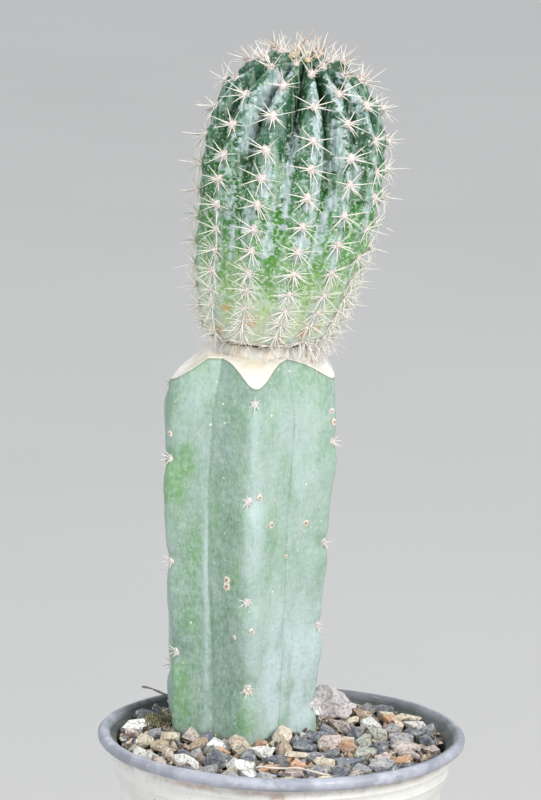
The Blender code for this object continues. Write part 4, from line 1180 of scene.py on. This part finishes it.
# Sides of the stones thrown between them, as shares of their size.
LONG_CHIP, ROUND_CHIP = (1.5, 1.0, 0.75), (1.0, 1.0, 1.0)
GRIT_TONES = ((92, 74, 56), (150, 128, 100), (52, 46, 42), (214, 200, 176), (120, 110, 100), (196, 162, 132),
              (110, 116, 130))


def gravel_top(x, y):
    """Height of the dressing: level at the wall, heaped round the stem by an exponential, and a little higher
    at the back on the right."""
    away = np.maximum(np.hypot(x - STEM_CENTRE[0], y - STEM_CENTRE[1]) - HEAP_START, 0)
    return GRAVEL_EDGE + GRAVEL_HEAP * np.exp(-away / HEAP_REACH) + 1.5 * smooth_step(x + y, 5, 50)


def from_stem(x, y):
    """Distance outwards from the stem's skin at the height of the gravel, along the line to its middle."""
    across, deep = x - STEM_ASIDE[0], y - STEM_ASIDE[1]
    angle = np.arctan2(deep, across) + math.pi / 2
    return np.hypot(across, deep) - stem_radius(angle, np.full_like(angle, STONE_LEVEL))


def hull_of(corners):
    """Triangles of the smallest convex body round the corners: every three corners that have all the others
    on one side, turned so that they face away from these."""
    trios = np.array(list(combinations(range(len(corners)), 3)))
    a, b, c = (corners[trios[:, i]] for i in range(3))
    beyond = np.einsum("tk,tpk->tp", np.cross(b - a, c - a), corners[None] - a[:, None])
    tiny = 1e-9
    return np.vstack([trios[(beyond < tiny).all(1)], trios[(beyond > -tiny).all(1)][:, ::-1]])


def stone_blank(corners):
    """A broken chip in a unit box: the hull of a few corners thrown near a ball, with slices pressed flat on
    random sides."""
    points = unit(draw.normal(size=(corners, 3))) * draw.uniform(0.85, 1.0, (corners, 1))
    for _ in range(BLANK_SLICES):
        way = unit(draw.normal(size=3))
        points -= np.maximum(points @ way - draw.uniform(0.35, 0.6), 0)[:, None] * way
    points -= (points.max(0) + points.min(0)) / 2
    points /= np.abs(points).max(0)
    points += draw.uniform(-0.01, 0.01, points.shape)
    used, faces = np.unique(hull_of(points), return_inverse=True)
    return points[used], faces.reshape(-1, 3)


def turned(points, tilt, yaw):
    """Points turned by the tilt about a random level axis, then by the yaw about the upright one."""
    axis = draw.uniform(0, 2 * math.pi)
    lean = Matrix.Rotation(tilt, 3, Vector((math.cos(axis), math.sin(axis), 0)))
    return points @ np.array(Matrix.Rotation(yaw, 3, "Z") @ lean).T


def thrown():
    """A place thrown at random over the bed, and its distance from the middle."""
    radius, angle = BED_RADIUS * math.sqrt(draw.uniform()), draw.uniform(0, 2 * math.pi)
    return radius * math.cos(angle), radius * math.sin(angle), radius


def spread_stones(taken, spacing, margin):
    """Places and sizes thrown at random, kept where they clear the wall, the stem and all the others."""
    kept = list(taken)
    for _ in range(STONE_THROWS):
        x, y, radius = thrown()
        size = draw.uniform(*spacing)
        if radius + size > BED_RADIUS or from_stem(x, y) < size * margin:
            continue
        at_x, at_y, others = np.array(kept).reshape(-1, 3).T
        if (np.hypot(at_x - x, at_y - y) >= (others + size) * 0.9).all():
            kept.append((x, y, size))
    return kept[len(taken):]


def add_stones(name, stones):
    """Adds loose stones as one piece. Each is its points, its faces and the colour of its points."""
    points, faces, tints = zip(*stones)
    add_piece(name, "gravel", joined([(at, [corners]) for at, corners in zip(points, faces)]), chip_stone,
              {"tint": np.vstack(tints)}, smooth=False)


def lay_stones():
    """All the stones: the chosen ones, chips of every size between them, and a lower layer. Each is a blank,
    scaled, turned, and sunk a little below the surface of the dressing. Its underside is darkened as painted
    shade."""
    blanks = [stone_blank(BLANK_CORNERS) for _ in range(STONE_BLANKS)]
    shares = np.array([share for _, share in STONES.values()])
    stones = []

    def lay(x, y, half, kind, tilt, yaw, sink):
        """Lays a random blank, scaled by its half sizes and turned. It is drawn inwards where it would pass
        the wall, and sunk by a share of half its height. Its shade strays a little from its kind's."""
        points, faces = blanks[draw.integers(len(blanks))]
        points = turned(points * half, tilt, yaw)
        reach = np.hypot(points[:, 0] + x, points[:, 1] + y).max()
        inward = 1 - max(reach - BED_RADIUS - 0.6, 0) / max(math.hypot(x, y), 1)
        x, y = x * inward, y * inward
        z = gravel_top(x, y) + BED_LIFT - sink * np.ptp(points[:, 2]) / 2
        shade = np.array(colour(*STONES[kind][0])[:3]) * draw.uniform(0.78, 1.22)
        shade = np.clip(shade * draw.uniform(0.98, 1.02, 3), 0, 1)
        # Painted shade: each stone darkens towards its underside, down to half its colour.
        underside_shade = 0.5 + 0.5 * smooth_step(points[:, 2:] / points[:, 2].max(), -0.7, 0.4)
        stones.append((points + [x, y, z], faces, np.hstack([shade * underside_shade, np.ones_like(underside_shade)])))

    taken = [(*MOSS_CENTRE[:2], 5.0), (13.0, 14.0, 3.0)]
    for kind, x, y, width, height in CHOSEN_STONES:
        width, height = width * STONE_GROWTH, height * STONE_GROWTH
        deep = 0.5 * (width + height) * draw.uniform(0.8, 1.0)
        lay(x, y, (width / 2, deep / 2, min(height, 0.8 * width + 1) / 2), kind, draw.uniform(0, 0.25),
            draw.uniform(-0.35, 0.35), 0.1)
        taken.append((x, y, 0.5 * max(width, deep) * 0.8))
    for others, spacing, margin, growth, sides, tilt, sink in (
            (taken, (2.2, 3.4), 0.9, (0.7, 1.2), LONG_CHIP, 0.9, 0.4),
            (taken, (1.2, 2.0), 0.8, (0.7, 1.2), LONG_CHIP, 0.9, 1.5),
            ([], (1.8, 2.8), 0.7, (0.8, 1.15), ROUND_CHIP, 1.5, 3.2)):
        added = spread_stones(others, spacing, margin)
        others += added
        for x, y, size in added:
            half = size * draw.uniform(*growth, 3) * sides
            kind = draw.choice(list(STONES), p=shares / shares.sum())
            lay(x, y, half, kind, draw.uniform(0, tilt), draw.uniform(0, math.pi), sink)
    add_stones("gravel_stones", stones)


def stone_finish(name, veins, rough):
    """Crushed stone: each chip has its own colour, clouded paler, with rusty patches, veins and specks."""
    material, tree, place = new_material(name, 0.8)
    tint = add_node(tree, "Attribute", attribute_name="tint").outputs["Color"]
    cloud, dark = clouds(place, 420, 0.38, 0.62, 6), clouds(place, 1300, 0.55, 0.66, 6)
    base = layers(
        laid_over(cloud, tint, laid_over(0.3, tint, (230, 226, 218))),
        ((196, 146, 100), clouds(place, 170, 0.58, 0.68, 5), 0.24),
        ((70, 64, 60), dark, veins),
        ((240, 236, 228), specks(place, 900, 0.3, 0.2), 0.7))
    return finished(material, base, plus(cloud, times(dark, -1.0)), rough)


def add_grit():
    """Loose grains of half a millimetre to a millimetre in the gaps between the stones."""
    blanks = [stone_blank(GRIT_CORNERS) for _ in range(GRIT_BLANKS)]
    grains = []
    for _ in range(GRIT_GRAINS):
        x, y, _ = thrown()
        if from_stem(x, y) < 0.6:
            continue
        points, faces = blanks[draw.integers(len(blanks))]
        points = turned(points * draw.uniform(0.45, 1.3, 3), draw.uniform(0, 3), draw.uniform(0, 3))
        points = points + [x, y, gravel_top(x, y) + draw.uniform(-2.0, 0.6)]
        tone = colour(*GRIT_TONES[draw.integers(len(GRIT_TONES))])
        grains.append((points, faces, np.tile(tone, (len(points), 1))))
    add_stones("gravel_grit", grains)


def add_grit_bed():
    """A ring of coarse dark grit round the stem, from its skin out to the wall. Its rows run outwards along
    the underside and back along the top, which is rough, and the last one joins the first."""
    turn = turns(BED_SIDES)
    skin = stem_radius(turn, np.full_like(turn, BED_LEVEL)) + 0.2
    inner = STEM_ASIDE + polar(skin, turn - math.pi / 2, 0)[:, :2]
    share = np.linspace(0, 1, BED_ROWS)[:, None, None]
    flat = inner * (1 - share) + GRIT_RADIUS * unit(inner) * share
    x, y = np.moveaxis(flat, -1, 0)
    rough = 0.5 * np.sin(x * 2.3 + 1) * np.sin(y * 2.7) + draw.uniform(-0.4, 0.4, x.shape)
    top = np.dstack([x, y, gravel_top(x, y) - GRIT_DEPTH + rough])
    rows = np.concatenate([np.dstack([x, y, 0 * x + GRIT_FLOOR])[::BED_STRIDE], top[::-1]])
    points = rows.reshape(-1, 3)
    faces = round_faces(len(rows) + 1, len(turn)) % len(points)
    add_piece("gravel_grit_bed", "gravel", (points, [faces]), potting_mix(), smooth=False)


chip_stone = stone_finish("gravel_chips", 0.3, 0.35)
lay_stones()
add_grit()
add_grit_bed()

# Large chip behind the stem
# One flat flake, 12 mm across, that stands in the chips at the right behind the stem and leans back. Its
# face is rippled where it broke.
FLAKE_CENTRE = np.array([13.2, 19.6, 90.4])
FLAKE_SIZE, FLAKE_SIDES = np.array([6.3, 4.6, 1.5]), 72
# From the middle of its face, over the edge, to the middle of its back: shares of its radius and thickness.
FLAKE_SECTION = (
    (0, 0.5), (0.2, 0.5), (0.4, 0.5), (0.6, 0.49), (0.78, 0.475), (0.92, 0.41), (1.0, 0.175), (0.98, -0.175),
    (0.9, -0.4), (0.7, -0.475), (0.4, -0.5), (0, -0.5))


def add_flake():
    """A closed flake in polar form: an angular outline, faces that ripple in rings about a point off the
    middle, and a thin broken edge. It is tilted back and turned to the front."""
    turn = turns(FLAKE_SIDES)
    rim = 1 + 0.09 * np.cos(3 * turn + 0.5) + 0.06 * np.cos(5 * turn + 2) + 0.035 * np.cos(11 * turn)
    reach, face = np.transpose(FLAKE_SECTION)[..., None]
    x, y, _ = np.moveaxis(polar(reach * rim, turn, 0), -1, 0)
    ripple = 0.2 * np.sin(np.hypot(x + 0.5, y - 0.35) * 13) + 0.16 * np.sin(x * 5 + 2 * y)
    z = face + ripple * (face > 0) * (reach < 0.95)
    swing, tip = Matrix.Rotation(math.radians(-14), 3, "Z"), Matrix.Rotation(math.radians(62), 3, "X")
    tilt = np.array(swing @ tip @ swing)
    points, faces = closed_grid((np.dstack([x, y, z]) * FLAKE_SIZE)[::-1] @ tilt.T + FLAKE_CENTRE)
    add_piece("gravel_flake", "gravel", (points, faces), stone_finish("flake_stone", 0.16, 0.25),
              {"tint": np.tile(colour(216, 206, 210), (len(points), 1))})


add_flake()

# Moss and dry litter
# A tuft of moss on the left of the stem, a bleached stalk that lies on the stones in front, and a dark twig
# across the lip at the back left.
MOSS_SHOOTS, MOSS_REACH, MOSS_STEPS, MOSS_RADII = 640, 4.6, np.array([0, 0.1, 0.6, 1.0]), (0.2, 0.16)
MOSS_SIDES, STALK_POINTS, STALK_SIDES = 4, 26, 8
STALK = (
    (-6.6, -33.0, 86.4), (-3.3, -34.9, 86.9), (3.1, -34.6, 87.0), (7.5, -36.6, 86.8), (13.7, -38.0, 86.2))
TWIG = ((-39.4, 40.0, 88.7), (-35.6, 36.4, 88.8), (-30.6, 33.4, 88.0), (-25.4, 30.0, 87.2))


def add_moss():
    """Short pointed shoots that spread from a low mound."""
    away = np.sqrt(draw.uniform(0, 1, MOSS_SHOOTS)) * MOSS_REACH
    mound = 2.4 - (away / MOSS_REACH) ** 2 * 2.6
    root = polar(away, draw.uniform(0, 2 * math.pi, MOSS_SHOOTS), mound) * [1, 0.8, 1]
    way = unit(draw.normal(0, 0.6, (MOSS_SHOOTS, 3)) + [0, 0, 0.8] + 0.25 * root)
    reach = MOSS_STEPS[None, :, None] * draw.uniform(0.9, 2.2, (MOSS_SHOOTS, 1, 1))
    paths = (root + MOSS_CENTRE + [0, 0, BED_LIFT])[:, None] + way[:, None] * reach
    add_rods("gravel_moss", "gravel", paths, MOSS_RADII, MOSS_SIDES,
             horn("moss", (116, 116, 54), (58, 46, 30), (196, 192, 112)),
             draw.uniform(0, 1, MOSS_SHOOTS), MOSS_STEPS)


def add_stalk(name, knots, thick, pale, warm):
    """A thin stalk that bends a little at each of its points, with a few swellings."""
    step = np.linspace(0, len(knots) - 1, STALK_POINTS)
    path = np.stack([np.interp(step, np.arange(len(knots)), line) for line in np.transpose(knots)], -1)
    path[:, 2] += 0.2 * np.sin(step * 3)
    radius = thick * (1 + 0.25 * np.sin(step[1:-1] * 6))
    add_rods(name, "gravel", path[None], radius, STALK_SIDES, horn(name, pale, warm, warm), [0.3])


add_moss()
add_stalk("gravel_stalk", STALK, 0.28, (228, 222, 210), (190, 170, 140))
add_stalk("gravel_twig", TWIG, 0.3, (84, 78, 72), (52, 42, 34))

# Studio
# A plain pale floor that fills the view, a large soft light high on the right in front, a weaker one on the
# left, one that lights the floor behind, and an even pale surrounding.
FLOOR_REACH = 9.0


def add_light(name, place, aim, width, power, tint):
    """A square soft light in metres and watts that faces a point."""
    data = bpy.data.lights.new(name, "AREA")
    data.shape, data.size, data.energy, data.color = "SQUARE", width, power, tint
    light = bpy.data.objects.new(name, data)
    bpy.context.scene.collection.objects.link(light)
    light.location = place
    light.rotation_euler = (Vector(aim) - Vector(place)).to_track_quat("-Z", "Y").to_euler()


def add_floor():
    """A flat square, with a faint mottle so that it doesn't look cut out."""
    corners = np.array([(-1, -1, 0), (1, -1, 0), (1, 1, 0), (-1, 1, 0)]) * FLOOR_REACH / MM
    material, _, place = new_material("floor", 0.8)
    floor = bpy.data.objects.new("floor", new_mesh("floor", corners, [np.array([[0, 1, 2, 3]])]))
    floor.data.materials.append(finished(material, laid_over(
        clouds(place, 1.5, 0.2, 0.8), (198, 197, 195), (204, 203, 201))))
    bpy.context.scene.collection.objects.link(floor)


add_floor()
add_light("key_light", (1.2, -1.6, 1.42), (0, 0, 0.16), 0.8, 48.6, (1.0, 0.985, 0.965))
add_light("fill_light", (-1.76, -1.44, 1.19), (0, 0, 0.15), 1.44, 23, (0.97, 0.985, 1.0))
add_light("background_light", (0, 2.6, 2.6), (0, 2.8, 0), 3.2, 24, (1.0, 1.0, 1.0))
world = bpy.data.worlds.new("studio")
world.use_nodes = True
world.node_tree.nodes["Background"].inputs["Color"].default_value = (0.86, 0.9, 0.95, 1.0)
world.node_tree.nodes["Background"].inputs["Strength"].default_value = 0.6
bpy.context.scene.world = world
bpy.context.scene.view_settings.view_transform = "Standard"
